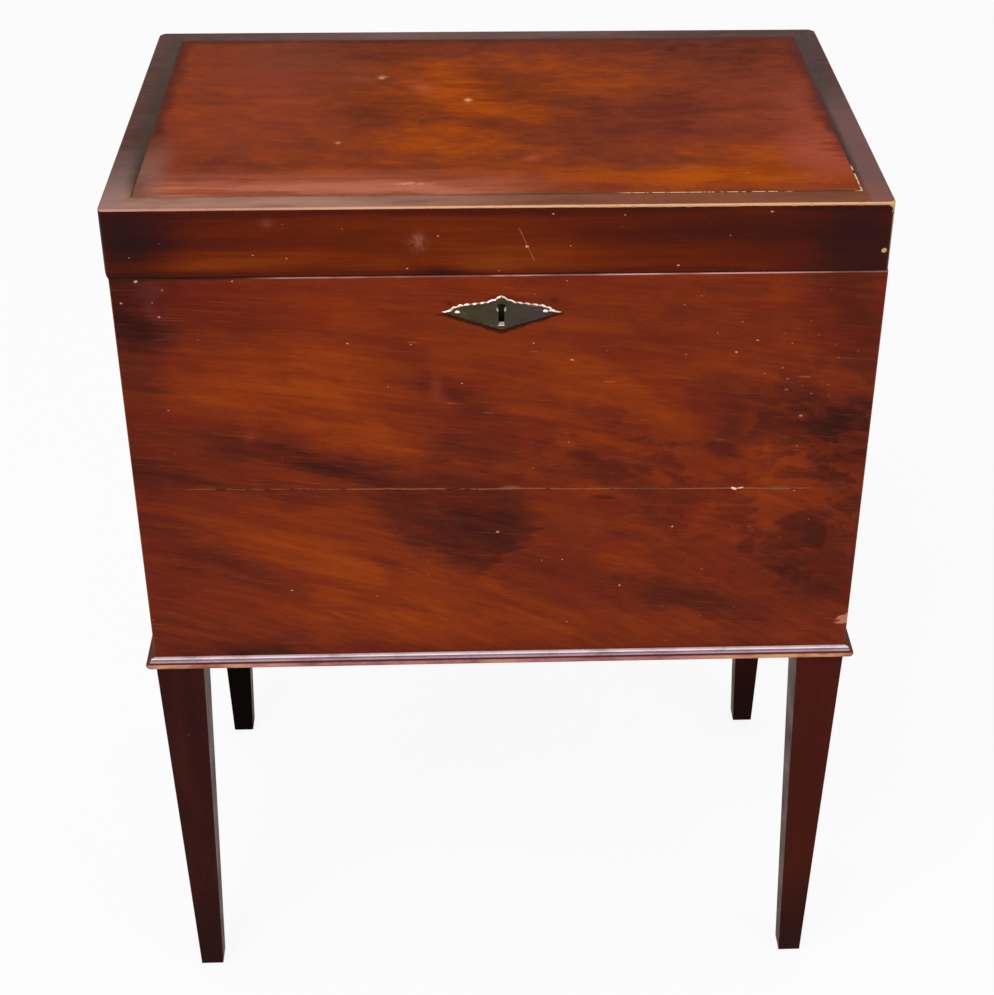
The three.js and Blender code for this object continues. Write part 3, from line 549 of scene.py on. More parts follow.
class Wood(Shader):
    """Wood with its grain along one axis.

    u runs along the grain, v across it on the seen face, and w into the board.
    """

    def __init__(self, name, along, seen, seed):
        super().__init__(name)
        axes = {"x": self.x, "y": self.y, "z": self.z}
        into = next(a for a in "xyz" if a not in (along, seen))
        self.u, self.v, self.w = axes[along], axes[seen], axes[into]
        self.flat = self.join(self.u, self.v, self.w)
        self.seed = (seed * 7.31, seed * 3.17, seed * 5.73)

    @cached_property
    def ragged(self):
        """Noise that frays the edges of wear and dirt."""
        return self.cloud((9, 9, 9), 5, 0.7, shift=(4, 4, 4))

    def leaning(self, place, lean):
        turn = {"Vector": place, "Rotation": (0, 0, math.radians(-lean))}
        return self.node("ShaderNodeMapping", turn, vector_type="POINT")

    def grain(self, along, across, detail=3, roughness=0.55, distortion=0, lean=0, figure=None):
        """Noise stretched along the grain. lean tilts it, in degrees, on the seen face; figure bends it."""
        place = figure or self.flat
        if lean:
            place = self.leaning(place, lean)
        return self.noise(place, (along, across, across), detail, roughness, distortion, self.seed)

    def warped(self, wide, fine):
        """The seen face's coordinates, pushed about by noise, so that patches get ragged edges."""
        flat = self.join(self.u, self.v)
        slow = self.noise(flat, (80, 45, 45), 2, shift=self.seed, output=1)
        fast = self.noise(flat, (34, 4.5, 4.5), 4, 0.65, shift=self.seed, output=1)
        for push, size in ((slow, wide), (fast, fine)):
            centred = self.vector("SUBTRACT", push, (0.5, 0.5, 0.5))
            flat = self.vector("ADD", flat, self.vector("MULTIPLY", centred, (size * 2, size, 0)))
        return flat

    def nicks(self, size, share, shift=0, flat=True, larger=1):
        """Small scattered chips, each near one cell's point; share says how many cells have one."""
        jitter = self.noise(self.flat, (1.5, 1.2, 1.5), 2, 0.6, output=1)
        place = self.vector("ADD", self.scaled(self.flat, (size * 1.6, size, size), (shift, shift, shift)),
                            self.vector("MULTIPLY", jitter, (0.12, 0.12, 0.12)))
        lot = self.split(self.cells(place, 1, flat))
        radius = 0.012 * larger + lot[1] ** 3 * (0.036 * larger)
        return (lot[0] > 1 - share) * (self.cells(place, 0, flat) < radius)

    def scratches(self, length, share, lean=0):
        """Thin bright lines along the grain."""
        place = self.scaled(self.leaning(self.flat, lean), (length, 3.5, 3.5), (3.3, 8.1, 1.7))
        lot = self.split(self.cells(place, 1))
        return (lot[0] > 1 - share) * (self.cells(place, 0) < 0.16)

    def pores(self):
        """Short dark pores of the grain, from 0 to 1."""
        open_pores = self.grain(4, 0.22, 1, 0.5)
        patchy = self.grain(60, 9, 2, 0.5)
        return open_pores.span(0.6, 0.74) * patchy.span(0.35, 0.65)

    def tone(self, base, streak, mottle, lean=0, figure=None, brushed=0, brush=(70, 12), fine=0.7):
        """The run of light and dark along the grain, around base. brushed adds streaks with crisp edges."""
        total = base
        for share, noise in (
            (streak, self.grain(160, 9, 5, 0.62, 0.25, lean, figure)),
            (streak * fine, self.grain(45, 1.6, 4, 0.6, 0, lean * 0.6, figure)),
            (mottle, self.grain(26, 16, 4, 0.6, 0.6, lean, figure)),
        ):
            total += (noise - 0.5) * share
        if brushed:
            crisp = self.grain(*brush, 5, 0.62, 0.5, lean, figure).span(0.46, 0.55, -0.5, 0.5)
            total += crisp * brushed
        return total

    def inner_face(self, low):
        """1 on the faces inside the case or the lid, named by its lower left corner, else 0."""
        across = (self.x > low[0] + WALL) * (self.x < CASE_HIGH[0] - WALL)
        return across * (self.y > CASE_LOW[1] + WALL) * (self.y < CASE_HIGH[1] - WALL)

    def bare(self):
        """Colour of the dry unpolished wood inside."""
        tone = self.tone(0.5, 0.7, 0.3)
        return self.ramp(tone, [(0.15, (66, 40, 26)), (0.5, (112, 76, 50)), (0.85, (142, 104, 72))])

    def polish(self, tone, wear, bare_share=None, gloss=(0.3, 0.46), specular=0.1, lustre=0.15,
               pore_depth=0.5, tint=WARM):
        """Adds pores, bump and roughness, and closes the material.

        lustre is the share of the surface that mirrors in the wood's own colour, as figured wood does.
        """
        pores = self.pores()
        self.stain((24, 9, 7), pores * pore_depth)
        smear = self.cloud((38, 30, 30), 4, 0.6, shift=self.seed)
        roughness = smear.span(0.3, 0.7, *gloss, smooth=False)
        roughness = (roughness + wear * 0.2).capped()
        if bare_share is not None:
            self.stain(self.bare(), bare_share)
            roughness = (roughness + bare_share * 0.35).capped()
        ripple = self.cloud((60, 45, 45), 1, 0.4, shift=self.seed)
        height = tone * 0.12 + ripple * 1.2 - pores * 0.25 - wear * 0.2
        return self.finish(roughness, height, GRAIN_DEPTH, metallic=lustre, specular=specular, tint=tint)


CASE_STOPS = [(0, (36, 13, 13)), (0.2, (60, 21, 16)), (0.38, (84, 29, 17)), (0.52, (105, 37, 16)),
              (0.66, (122, 45, 13)), (0.82, (137, 55, 12)), (1, (150, 68, 20))]

CASE_PATCHES = [
    (-240, 588, 34, 18, -89, -0.6), (-124, 481, 74, 12, -23, -0.5), (-214, 473, 22, 10, -18, -0.3),
    (-151, 448, 20, 11, -12, -0.3), (-44, 480, 46, 22, -50, -0.3), (-178, 393, 55, 11, -25, -0.42),
    (-79, 392, 22, 6, -43, -0.35), (-176, 322, 21, 8, -4, -0.5), (231, 589, 27, 17, -60, -0.5),
    (154, 511, 32, 14, -43, -0.38), (222, 501, 34, 20, -36, -0.38), (212, 380, 45, 22, -21, -0.5),
    (109, 369, 65, 11, -20, -0.42), (67, 474, 33, 8, -34, -0.34), (98, 440, 20, 9, -31, -0.4),
    (84, 413, 12, 5, -3, -0.35), (92, 505, 18, 7, -16, -0.25), (-249, 481, 17, 12, -70, -0.3),
    (221, 428, 49, 14, -51, -0.2), (10, 497, 56, 30, -12, -0.22), (150, 500, 60, 20, -10, -0.15),
    (-240, 440, 24, 120, 0, -0.28), (238, 470, 22, 130, 0, -0.3), (0, 317, 260, 9, 0, -0.25),
    (-130, 552, 78, 31, -9, 0.38), (-87, 504, 51, 17, -26, 0.36), (-188, 528, 29, 17, -5, 0.2),
    (-53, 361, 75, 22, -29, 0.3), (42, 347, 49, 20, -28, 0.3), (92, 389, 29, 9, -37, 0.35),
    (200, 441, 33, 16, -1, 0.2), (185, 478, 27, 16, -47, 0.28), (85, 545, 52, 19, -26, 0.22),
    (189, 565, 69, 17, -26, 0.12), (-166, 423, 48, 10, -11, 0.22), (164, 335, 82, 12, -11, 0.15),
    (-43, 538, 22, 9, -60, -0.42), (-18, 520, 24, 8, -20, -0.2), (-140, 398, 30, 12, -20, 0.28),
    (-107, 363, 34, 12, -25, 0.42), (98, 522, 40, 12, -20, 0.42), (38, 371, 30, 9, -25, -0.38),
    (67, 487, 22, 9, -20, 0.3), (-134, 497, 22, 7, -15, 0.3), (-49, 446, 12, 6, -40, 0.25),
    (-135, 468, 20, 7, -10, 0.25), (68, 415, 36, 11, -37, 0.15), (-196, 592, 34, 19, -8, -0.62),
    (130, 354, 34, 9, -8, -0.5), (27, 355, 25, 8, -12, -0.3), (14, 513, 22, 9, -15, 0.4),
    (-60, 482, 24, 8, -25, 0.36), (155, 484, 16, 13, 0, -0.4), (192, 491, 13, 9, 0, 0.3),
    (121, 592, 25, 12, -4, -0.22), (-124, 351, 25, 8, -12, 0.34), (-33, 398, 18, 9, -32, -0.3),
]
CASE_CURLY = [(225, 490, 40, 45, 0, 1), (110, 465, 60, 35, -30, 0.7), (200, 400, 50, 30, 0, 0.7),
              (0, 470, 60, 20, 0, 0.25)]
CASE_RED = [
    (-115, 606, 89, 16, -1, 0.6), (138, 430, 58, 26, -41, 0.4), (57, 606, 71, 11, -2, 0.4),
    (133, 392, 62, 19, -34, 0.3), (-237, 390, 64, 23, -70, 0.3), (-190, 597, 34, 14, -6, 0.7),
]
CASE_SPECKS = [
    (-231, 613.2, 1.2, 0.8, 20, 0.9), (-215, 607, 1.1, 0.9, 0, 0.6), (-222, 598, 1, 1, 0, 0.6),
    (-218.7, 588, 1.2, 0.9, 30, 0.7), (118, 421, 1.4, 1, 10, 0.7), (83, 372, 0.9, 0.9, 0, 0.7),
]
# Chips and stains along the joint of the two boards, each with its colour
JOINT_CHIPS = [
    ((158.8, 451.6, 1.5, 0.65, -20, 1), (240, 196, 176)),
    ((163.4, 452, 1.7, 0.4, 12, 0.9), (232, 186, 164)),
    ((6, 455, 7, 1.4, 0, 0.55), (128, 84, 62)), ((96, 452, 22, 1.8, 0, 0.6), (66, 42, 28)),
    ((188, 451, 12, 2.2, 0, 0.5), (104, 72, 50)), ((70, 446, 8, 1.6, -4, 0.6), (40, 20, 16)),
    ((-200, 462, 10, 1.2, -8, 0.6), (52, 26, 18)),
]


def board_joint(wood):
    """The joint between the two boards: a tan line that breaks up toward the right, with a few chips."""
    x, z = wood.x, wood.z
    broken = wood.noise(wood.flat, (14, 6, 6), 4, 0.7, shift=(2, 2, 2))
    wander = wood.noise(wood.flat, (34, 90, 90), 3, 0.6, shift=(5, 2, 2))
    tilted = BOARD_SEAM - 0.8 + wander * 1.6 - x * 0.015
    below = tilted - z
    ends = x.span(-216, -206) * x.span(214, 205)
    shade = abs(below - 0.7).span(0.7, 0.3) * broken.span(0.44, 0.6)
    wood.stain((46, 18, 13), shade * ends * 0.65)
    line = (abs(below) < broken.span(0.35, 0.75, 0.3, 0.95)) * ends
    line_colour = wood.mix(broken.span(0.52, 0.64), (142, 84, 48), (52, 24, 16))
    wood.stain(line_colour, line * x.span(-125, -85, 0.4, 0.75))
    for row, tint in JOINT_CHIPS:
        chip = wood.patches(wood.flat, [row]) * broken.span(0.3, 0.5, 0.4, 1)
        wood.stain(tint, chip.span(0.2, 0.5, 0, row[5]))


def plate_grime_and_shade(wood):
    """Grime round the lozenge plate, with painted shadow below it, and the pale floor of the keyhole,
    darkened deeper in as painted shade.
    """
    x, y, z = wood.x, wood.y, wood.z
    across, up = abs(x), abs(z - 587.4)
    lozenge_shape = across / 40 + up / 14
    grime_and_shade = (lozenge_shape + (wood.ragged - 0.5) * 0.3).span(1.09, 0.96)
    # Stronger below the plate, where painted shadow lies over the grime.
    grime_and_shade *= z.span(590, 586, 0.2, 0.85)
    spots = wood.patches(wood.flat, [(-33.5, 595.5, 1.9, 1.3, 0, 0.6), (34, 597, 2.2, 1.7, 0, 0.75)])
    grime_and_shade = grime_and_shade.most(spots * 0.8)
    wood.stain((26, 12, 10), grime_and_shade)
    # The keyhole's floor: pale near the front, with painted shade deeper into the hole.
    hole = (across < 3.4) * (up < 12) * (y > CASE_LOW[1] + 0.05)
    deep = y.span(CASE_LOW[1] + 7.5, CASE_LOW[1] + 12)
    wood.stain(wood.mix(deep, (236, 228, 214), (30, 26, 24)), hole)


def case_front():
    wood = Wood("case_front", "x", "z", 1)
    x, y, z = wood.x, wood.y, wood.z
    ragged = wood.ragged
    place = wood.warped(30, 16)
    sweep = z.span(600, 330, 0.08, 0.46, smooth=False)
    figure = wood.join(x, z + x * sweep, y)
    tone = wood.tone(0.54, 0.4, 0.26, figure=figure, brushed=0.05, fine=0.45)
    curl = wood.noise(wood.flat, (30, 17, 17), 5, 0.58, 0.45, (4, 4, 4))
    curly = wood.patches(place, CASE_CURLY, 0.08)
    tone += curl.span(0.43, 0.56, -0.5, 0.5) * curly * 0.22
    tone = wood.patches(place, CASE_PATCHES, tone, 0.43)

    # A dark drop of figure below the middle, crisp on its right side, its point down to the left
    place_u, place_v, _ = wood.split(place)
    right_of = place_u * 0.824 - place_v * 0.567
    left_of = place_u * 0.7 + place_v * 0.71
    drop = right_of.span(-221, -227) * left_of.span(244, 276)
    drop *= place_v.span(480, 420) * place_u.span(34, 4)
    tone -= drop * 0.25

    # A dark band that runs down to the right below the bright upper left, crisp on its upper side
    off_edge = place_v - 447.4 + place_u * 0.294
    band = off_edge.span(1.5, -2) * off_edge.span(-34, -6)
    band *= place_u.span(-212, -178) * place_u.span(-76, -108)
    tone -= band * 0.13
    corner = place_u.span(-200, -222) * place_v.span(556, 590)
    tone -= corner * 0.26
    wood.colour = wood.ramp(tone, CASE_STOPS)
    red = wood.patches(place, CASE_RED)
    wood.stain((100, 26, 14), red * 0.5)
    blush = wood.grain(90, 20, 4, 0.6, 0.6, figure=figure)
    wood.stain((96, 27, 15), blush.span(0.48, 0.66, 0, 0.5))
    marks = wood.patches(wood.flat, [(-42.5, 533, 3.2, 8.5, 4, 1), (-167, 498, 2.8, 4.2, -20, 0.8)])
    wood.stain((130, 48, 30), marks * 0.6)
    # Painted sheen: a pinkish haze near the top left corner of the front.
    hazy_sheen = wood.patches(place, [(-220, 596, 5, 14, 6, 0.5), (-222, 571.5, 8, 1.2, 4, 0.6)])
    wood.stain((110, 58, 58), hazy_sheen * 0.4)
    threads = wood.grain(38, 0.9, 3, 0.7, 0, lean=-4)
    wood.stain((170, 84, 34), threads.span(0.56, 0.8, 0, 0.3))

    wear = wood.near_arris(CASE_LOW, CASE_HIGH, 0.7, ragged - 0.42)
    wood.stain((112, 62, 48), wear * 0.6)
    uneven = wood.grain(60, 9, 3, 0.6)
    # Painted highlight on the case's top front arris, just under the seam: none at the far left, weaker
    # toward the right end, broken up by noise.
    arris_highlight = z.span(SEAM_HEIGHT - 1.1, SEAM_HEIGHT - 0.5) * uneven.span(0.36, 0.56, 0.15, 1)
    arris_highlight *= x.span(-180, -120, 0, 0.8).least(x.span(150, 215, 1, 0.35))
    at_front = y.span(CASE_LOW[1] + 2, CASE_LOW[1] + 0.8)
    wood.stain((210, 158, 150), arris_highlight * at_front)
    # Painted shade: a dark line under the seam at the left of the front.
    seam_shade = x.span(-130, -175) * z.span(SEAM_HEIGHT - 1.6, SEAM_HEIGHT - 0.6)
    wood.stain((44, 16, 16), seam_shade * at_front * 0.85)

    fine = wood.scratches(26, 0.1, lean=-3)
    region = wood.patches(place, [(150, 560, 110, 45, -5, 1), (-60, 540, 60, 40, 0, 0.6)], 0.12)
    wood.stain((190, 112, 70), fine * (region * 0.3))
    chips = wood.nicks(15, 0.1).most(wood.nicks(9, 0.03, 5))
    dense = wood.patches(place, [(172, 560, 46, 20, -4, 1), (215, 500, 16, 26, 0, 0.6)]).span(0.3, 0.6)
    chips = chips.most(wood.nicks(10, 0.5, 3, larger=2) * dense)
    specks = (wood.patches(wood.flat, CASE_SPECKS) + (ragged - 0.5) * 0.6).span(0.4, 0.7)
    chips = (chips * 0.7).most(specks * 0.8)
    wood.stain((204, 144, 116), chips)

    board_joint(wood)
    plate_grime_and_shade(wood)
    fresh_chip = wood.patches(place, [(245, 337, 7.5, 4.2, 24, 1)])
    wood.stain((168, 104, 78), fresh_chip.span(0.5, 0.62))
    return wood.polish(tone, wear, wood.inner_face(CASE_LOW))


def case_side(name, seed, along, seen):
    """Sides and back of the case: plainer boards of the same wood."""
    wood = Wood(name, along, seen, seed)
    tone = wood.tone(0.44, 0.8, 0.2, lean=-6, brushed=0.06)
    drift = wood.noise(wood.flat, (220, 60, 60), 3, 0.55, 0.4, wood.seed)
    tone += (drift - 0.5) * 0.9
    wood.colour = wood.ramp(tone, CASE_STOPS)
    wear = wood.near_arris(CASE_LOW, CASE_HIGH, 0.7, wood.ragged - 0.45)
    wood.stain((118, 66, 50), wear * 0.6)
    wood.stain((190, 130, 102), wood.nicks(15, 0.07) * 0.6)
    wood.stain((40, 16, 12), (wood.z + wood.ragged * 24).span(320, 345, 0.45, 0))
    return wood.polish(tone, wear, wood.inner_face(CASE_LOW))


LID_STOPS = [(0, (30, 14, 17)), (0.25, (48, 16, 14)), (0.5, (76, 22, 9)), (0.7, (96, 32, 7)),
             (1, (128, 56, 14))]
LID_PATCHES = [
    (-227, 641, 24, 19, -38, -0.4), (-120, 635, 69, 4, -3, -0.25), (-39, 618, 13, 3, -4, -0.6),
    (125, 643, 63, 5, -2, -0.25), (230, 637, 26, 26, -1, -0.6), (157, 648, 32, 5, -1, -0.2),
    (-142, 624, 91, 6, -2, 0.3), (-63, 649, 62, 9, -2, 0.25), (-236, 638, 16, 26, 0, -0.45),
    (-90, 633, 80, 6, -1, 0.25), (20, 636, 60, 5, -1, 0.08), (-205, 621.5, 34, 4, 0, 0.4),
    (0, 659.5, 250, 2.2, 0, -0.35), (0, 617, 250, 1.6, 0, -0.3), (-7, 622, 32, 6, -6, 0.4),
    (31, 630, 32, 10, -11, 0.22), (101, 621, 64, 6, -3, 0.12),
]


def lid_rim(name, along, seed, front):
    wood = Wood(name, along, "z", seed)
    x, y, z = wood.x, wood.y, wood.z
    ragged = wood.ragged
    tone = wood.tone(0.52, 0.4, 0.15)
    if front:
        tone = wood.patches(wood.warped(10, 4), LID_PATCHES, tone, 0.6)
    wood.colour = wood.ramp(tone, LID_STOPS)
    wear = wood.near_arris(LID_LOW, LID_HIGH, 0.6, ragged - 0.45)
    wood.stain((104, 60, 46), wear * 0.6)
    chips = wood.nicks(12, 0.14, 2, larger=1.3).most(wood.nicks(7, 0.05, 9, larger=1.6))
    wood.stain((204, 158, 130), chips * 0.75)
    # Painted shade with some grime: a dark line along the lid's foot at the seam, on its downward faces.
    grime_and_shade = (z + ragged * 1.2).span(LID_LOW[2] + 1.2, LID_LOW[2] + 1.9, 0.9, 0)
    underside = wood.normal[2].span(-0.9, -0.6)
    wood.stain((20, 8, 8), grime_and_shade * underside)
    # Painted shade on all the downward faces.
    wood.stain((62, 32, 20), wood.normal[2].span(-0.6, -0.9, 0, 0.75))
    if front:
        # The tan, worn top arris: faint at the left, broad at the right and round the right corner
        from_top = LID_HIGH[2] - z
        from_right = LID_HIGH[0] - x
        top_line = from_top < x.span(-200, 150, 0.6, 1.6) + (ragged - 0.5) * 1.4
        corner = from_right.span(1.6, 0.6) * z.span(618, 655, 0.2, 0.8)
        round_corner = 6
        in_x, in_z = (round_corner - from_right).most(0), (round_corner - from_top).most(0)
        reach = (in_x * in_x + in_z * in_z) ** 0.5 + (ragged - 0.5) * 0.8
        corner = corner.most((in_x * in_z > 0) * reach.span(round_corner - 1.9, round_corner - 1.1))
        spot = wood.patches(wood.flat, [(243.5, 629.5, 1.5, 1.3, 30, 1)]).span(0.35, 0.6)
        pale = top_line.most(corner).most(spot)
        pale *= y.span(LID_LOW[1] + 4, LID_LOW[1] + 2)
        pale_colour = wood.mix(x.span(-220, -20), (186, 128, 116), (200, 152, 108))
        wood.stain(pale_colour, pale * 0.85)
        scuff = wood.patches(wood.flat, [(-52, 638, 3.4, 4, 0, 1), (-146, 652, 2.5, 2, 0, 0.5)])
        scuff *= ragged.span(0.35, 0.65, 0, 0.5)
        wood.stain((176, 112, 92), scuff)
        off_line = z + x * 2.32 - 673.6
        scratch = (abs(off_line) < 0.55) * z.span(623, 626) * z.span(649, 646)
        wood.stain((190, 130, 100), scratch * ragged.span(0.4, 0.6, 0.1, 0.4))
    return wood.polish(tone, wear, wood.inner_face(LID_LOW), gloss=(0.28, 0.42))


TOP_STOPS = [(0, (56, 28, 20)), (0.2, (82, 39, 25)), (0.4, (104, 49, 29)), (0.55, (118, 54, 27)),
             (0.72, (139, 62, 16)), (1, (164, 78, 4))]
TOP_PATCHES = [
    (-202, 88, 25, 16, -40, 0.2), (-236, 20, 26, 26, 31, 0.05), (-42, 35, 42, 28, -54, 0.4),
    (-45, -44, 28, 21, -19, 0.25), (58, 68, 55, 24, -35, 0.4), (31, 9, 23, 15, -55, 0.25),
    (132, -123, 74, 14, -1, 0.45), (172, -74, 28, 19, -8, 0.35), (-25, 32, 69, 16, -79, 0.3),
    (-66, -66, 34, 16, -10, 0.32), (196, -90, 26, 16, -8, 0.22), (-20, -16, 31, 9, -34, -0.4),
    (-97, 104, 45, 19, -11, -0.35), (-90, 0, 24, 17, -6, -0.3),
    (79, -9, 35, 28, -13, -0.35), (134, -11, 37, 14, -86, -0.5), (201, 72, 22, 25, -6, -0.35),
    (181, -45, 17, 14, -19, -0.35), (-166, 90, 23, 28, -34, -0.2), (-184, -87, 17, 16, -15, -0.25),
    (8, -88, 72, 20, -1, 0.1), (27, 28, 21, 16, -68, -0.3), (104, 126, 112, 17, -3, -0.4),
    (163, 2, 93, 10, -93, -0.15), (216, -8, 32, 12, -90, -0.1), (165, -114, 52, 9, 0, 0.4),
    (23, -111, 40, 8, 0, 0.3), (150, -82, 30, 12, 0, 0.2), (2, 2, 24, 14, -20, 0.2),
    (150, -34, 16, 12, 0, 0.34),
]
# Patches of painted sheen on the polished top: rosy toward the right, pink in places, grey toward the back
# left.
TOP_ROSY_SHEEN = [(223, -78, 7, 18, 0, 0.7), (216, -84, 17, 34, 0, 1), (218, 2, 12, 44, 0, 0.8),
            (186, 40, 24, 20, 0, 0.3)]
TOP_PINK_SHEEN = [
    (-105, -128, 118, 13, -2, 0.8), (-188, -40, 41, 43, -41, 0.4), (212, -83, 30, 22, -59, 0.6),
    (-161, 60, 56, 34, -61, 0.5), (154, -12, 55, 37, -11, 0.25), (-56, -123, 18, 8, -16, 0.6),
]
TOP_SPOTS = [
    (-18.6, 19.6, 2.1, 3.2, 0, 1.3), (-80, 65, 3.2, 4.2, -20, 0.8), (-106, -56, 1.5, 2.6, 0, 0.8),
    (-59, -124, 8, 2.5, 4, 0.7), (-46, -126, 6, 2, 4, 0.5), (160, -112, 3, 2, 0, 0.35),
    (-9, 34, 2.2, 2.2, 0, 0.35),
]
TOP_SMUDGES = [
    (-51, 44, 6, 7.5, 15, 0.8), (22, -85, 4.5, 3.5, 20, 0.8), (126, -102, 7, 4, 12, 0.5),
    (-94, 62, 6, 5, -10, 0.35),
]
TOP_AMBER = [(-18, 25, 60, 48, 0, 1), (160, -112, 34, 12, 0, 0.8), (-100, 30, 20, 14, 0, 0.4),
             (-86, 108, 30, 18, 0, 0.7)]
TOP_BACK_SHEEN = [(-132, 92, 34, 34, -20, 1), (-160, 100, 20, 20, 0, 0.5)]


def top_field():
    wood = Wood("figured_field", "x", "y", 5)
    x, y = wood.x, wood.y
    place = wood.warped(36, 30)
    tone = wood.tone(0.5, 0.26, 0.4, lean=-5, brushed=0.09, brush=(110, 34), fine=0.4)
    curl = wood.noise(wood.flat, (52, 34, 34), 4, 0.55, 1.2)
    tone += curl.span(0.38, 0.62, -0.5, 0.5) * 0.12
    flecks = wood.noise(wood.flat, (15, 9, 9), 5, 0.62, 0.3, (7, 3, 3))
    tone += flecks.span(0.4, 0.62, -0.5, 0.5) * 0.12
    tone = wood.patches(place, TOP_PATCHES, tone, 0.6)
    wood.colour = wood.ramp(tone, TOP_STOPS)
    wood.stain((255, 248.2, 89), wood.patches(place, TOP_AMBER) * 0.9, "MULTIPLY")
    # Painted sheen: grey toward the back left, then pink and rosy patches.
    wood.stain((104, 62, 42), wood.patches(place, TOP_BACK_SHEEN) * 0.5)
    wood.stain((140, 62, 44), wood.patches(place, TOP_PINK_SHEEN) * 0.8)
    wood.stain((156, 76, 58), wood.patches(place, TOP_ROSY_SHEEN) * 0.55)
    # Painted sheen, pinkish and cloudy, near the front of the field toward the left.
    cloudy = wood.cloud((70, 9, 9), 4, 0.6, shift=(6, 1, 3))
    front_sheen = y.span(-96, -134) * x.span(60, -60)
    wood.stain((178, 108, 88), front_sheen * cloudy.span(0.3, 0.6, 0.2, 0.9))
    wood.stain((176, 92, 62), wood.patches(wood.flat, TOP_SMUDGES) * 0.55)
    smeared = wood.patches(wood.flat, TOP_SPOTS) + (wood.cloud((3, 2, 2), 3) - 0.5) * 1.4
    wood.stain((208, 156, 118), smeared.span(0.2, 1.1, 0, 0.8))
    edge_x = (x - FIELD_X[0]).least(FIELD_X[1] - x)
    edge_y = FIELD_Y[1] - y
    shaded = wood.cloud((24, 30, 30), 4, 0.6, shift=(3, 8, 1))
    front_right = x.span(100, 180) * y.span(-30, -80)
    rim = edge_x.least(edge_y) + (shaded - 0.5) * 22 + front_right * 9
    rim_colour = wood.mix(x.span(0, 10), (60, 38, 27), (68, 42, 38))
    wood.stain(rim_colour, rim.span(0, 12, 0.8, 0))
    # Painted sheen along the left edge of the field, toward the front.
    left_sheen = edge_x.span(26, 6) * y.span(-30, -110) * x.span(0, -100)
    wood.stain((124, 88, 80), left_sheen * shaded.span(0.3, 0.6, 0.5, 0.95))
    return wood.polish(tone, 0, gloss=(0.16, 0.34), specular=0.003, lustre=0.24, pore_depth=0.35,
                       tint=(1, 0.4, 0.14, 1))


def top_band(name, along, seen, seed):
    """Banding round the field: dark brown, lighter along the front, and paler toward the front left, where
    a painted sheen lies over it.
    """
    wood = Wood(name, along, seen, seed)
    x, y = wood.x, wood.y
    tone = wood.tone(0.5, 0.6, 0.7)
    wood.colour = wood.ramp(tone, [(0.1, (42, 20, 14)), (0.5, (74, 38, 26)), (0.9, (104, 60, 46))])
    shaded = wood.cloud((20, 24, 24), 4, 0.62, shift=(5, 2, 1))
    olive = wood.mix(x.span(0, 10), (50, 34, 24), (58, 42, 42))
    out = abs(x)
    sides = out.span(229, 234) * out.span(246, 236) * y.span(-130, -90, 0.2, 0.85)
    wood.stain(olive, sides * shaded.span(0.35, 0.6, 0.35, 1))
    # The front band is lighter: its own colour at the right, turning to a pale painted sheen toward the
    # left.
    sheen = wood.cloud((60, 12, 12), 4, 0.6, shift=(2, 9, 4))
    front = y.span(-112, -150) * sheen.span(0.3, 0.6, 0.6, 1)
    left = x.span(60, -110)
    wood.stain(wood.mix(left, (128, 66, 36), (160, 114, 96)), front * (0.85 + left * 0.1))
    # Painted sheen on the left and right bands toward the front, and patches of it along the back band.
    wood.stain((134, 104, 98), y.span(-40, -140, 0, 0.7) * x.span(-231, -240))
    wood.stain((122, 82, 78), x.span(230, 235) * y.span(60, -40, 0, 0.6))
    back = wood.patches(wood.warped(20, 8), [(-60, 152, 70, 12, 0, 1), (70, 152, 40, 12, 0, 0.5)])
    wood.stain((116, 80, 72), back * 0.6)

    # Old dirt in the line along the field
    off_x = (FIELD_X[0] - x).most(x - FIELD_X[1])
    from_field = off_x.most(FIELD_Y[0] - y).most(y - FIELD_Y[1])
    wood.stain((38, 23, 18), (from_field - wood.ragged * 5).span(-2.4, 1.4, 0.4, 0))

    # Arrises: tan along the front and round its right corner, dull elsewhere
    wear = wood.near_arris(LID_LOW, LID_HIGH, 0.9, wood.ragged - 0.5)
    at_front = y.span(-157, -159)
    tan = wood.mix(x.span(-220, -20), (196, 138, 122), (206, 160, 116))
    wood.stain(tan, wear * at_front * x.span(-220, 60, 0.6, 0.95))
    wood.stain((104, 78, 68), wear * (1 - at_front) * 0.45)
    corner = (LID_HIGH[0] - x + (y - LID_LOW[1])).span(2.5, 5, 0.9, 0)
    wood.stain((206, 160, 116), corner)
    return wood.polish(tone, wear, gloss=(0.22, 0.4), specular=0.012, lustre=0.14, pore_depth=0.3,
                       tint=(1, 1, 1, 1))


def stringing():
    """Pale stringing, dark with old polish save for a few bright lengths."""
    wood = Wood("stringing", "x", "y", 9)
    dashes = wood.cloud((7, 9, 9), 3, 0.7, shift=(1, 5, 2))
    at_front = wood.y < -140
    front = wood.x.span(70, 84) * wood.x.span(190, 178) * at_front
    right = (wood.x > 225) * wood.y.span(-100, -106)
    wood.colour = wood.ramp(dashes, [(0.3, (40, 24, 18)), (0.6, (66, 40, 29))])
    # Painted sheen over the front stringing, paler toward the left.
    sheen = wood.ramp(dashes, [(0.35, (86, 54, 44)), (0.6, (132, 90, 76))])
    wood.stain(sheen, at_front * wood.x.span(40, -60, 0, 0.8))
    wood.stain((214, 178, 128), front.most(right) * dashes.span(0.42, 0.5))
    return wood.finish(0.4, dashes, 0.00005, specular=0.02)


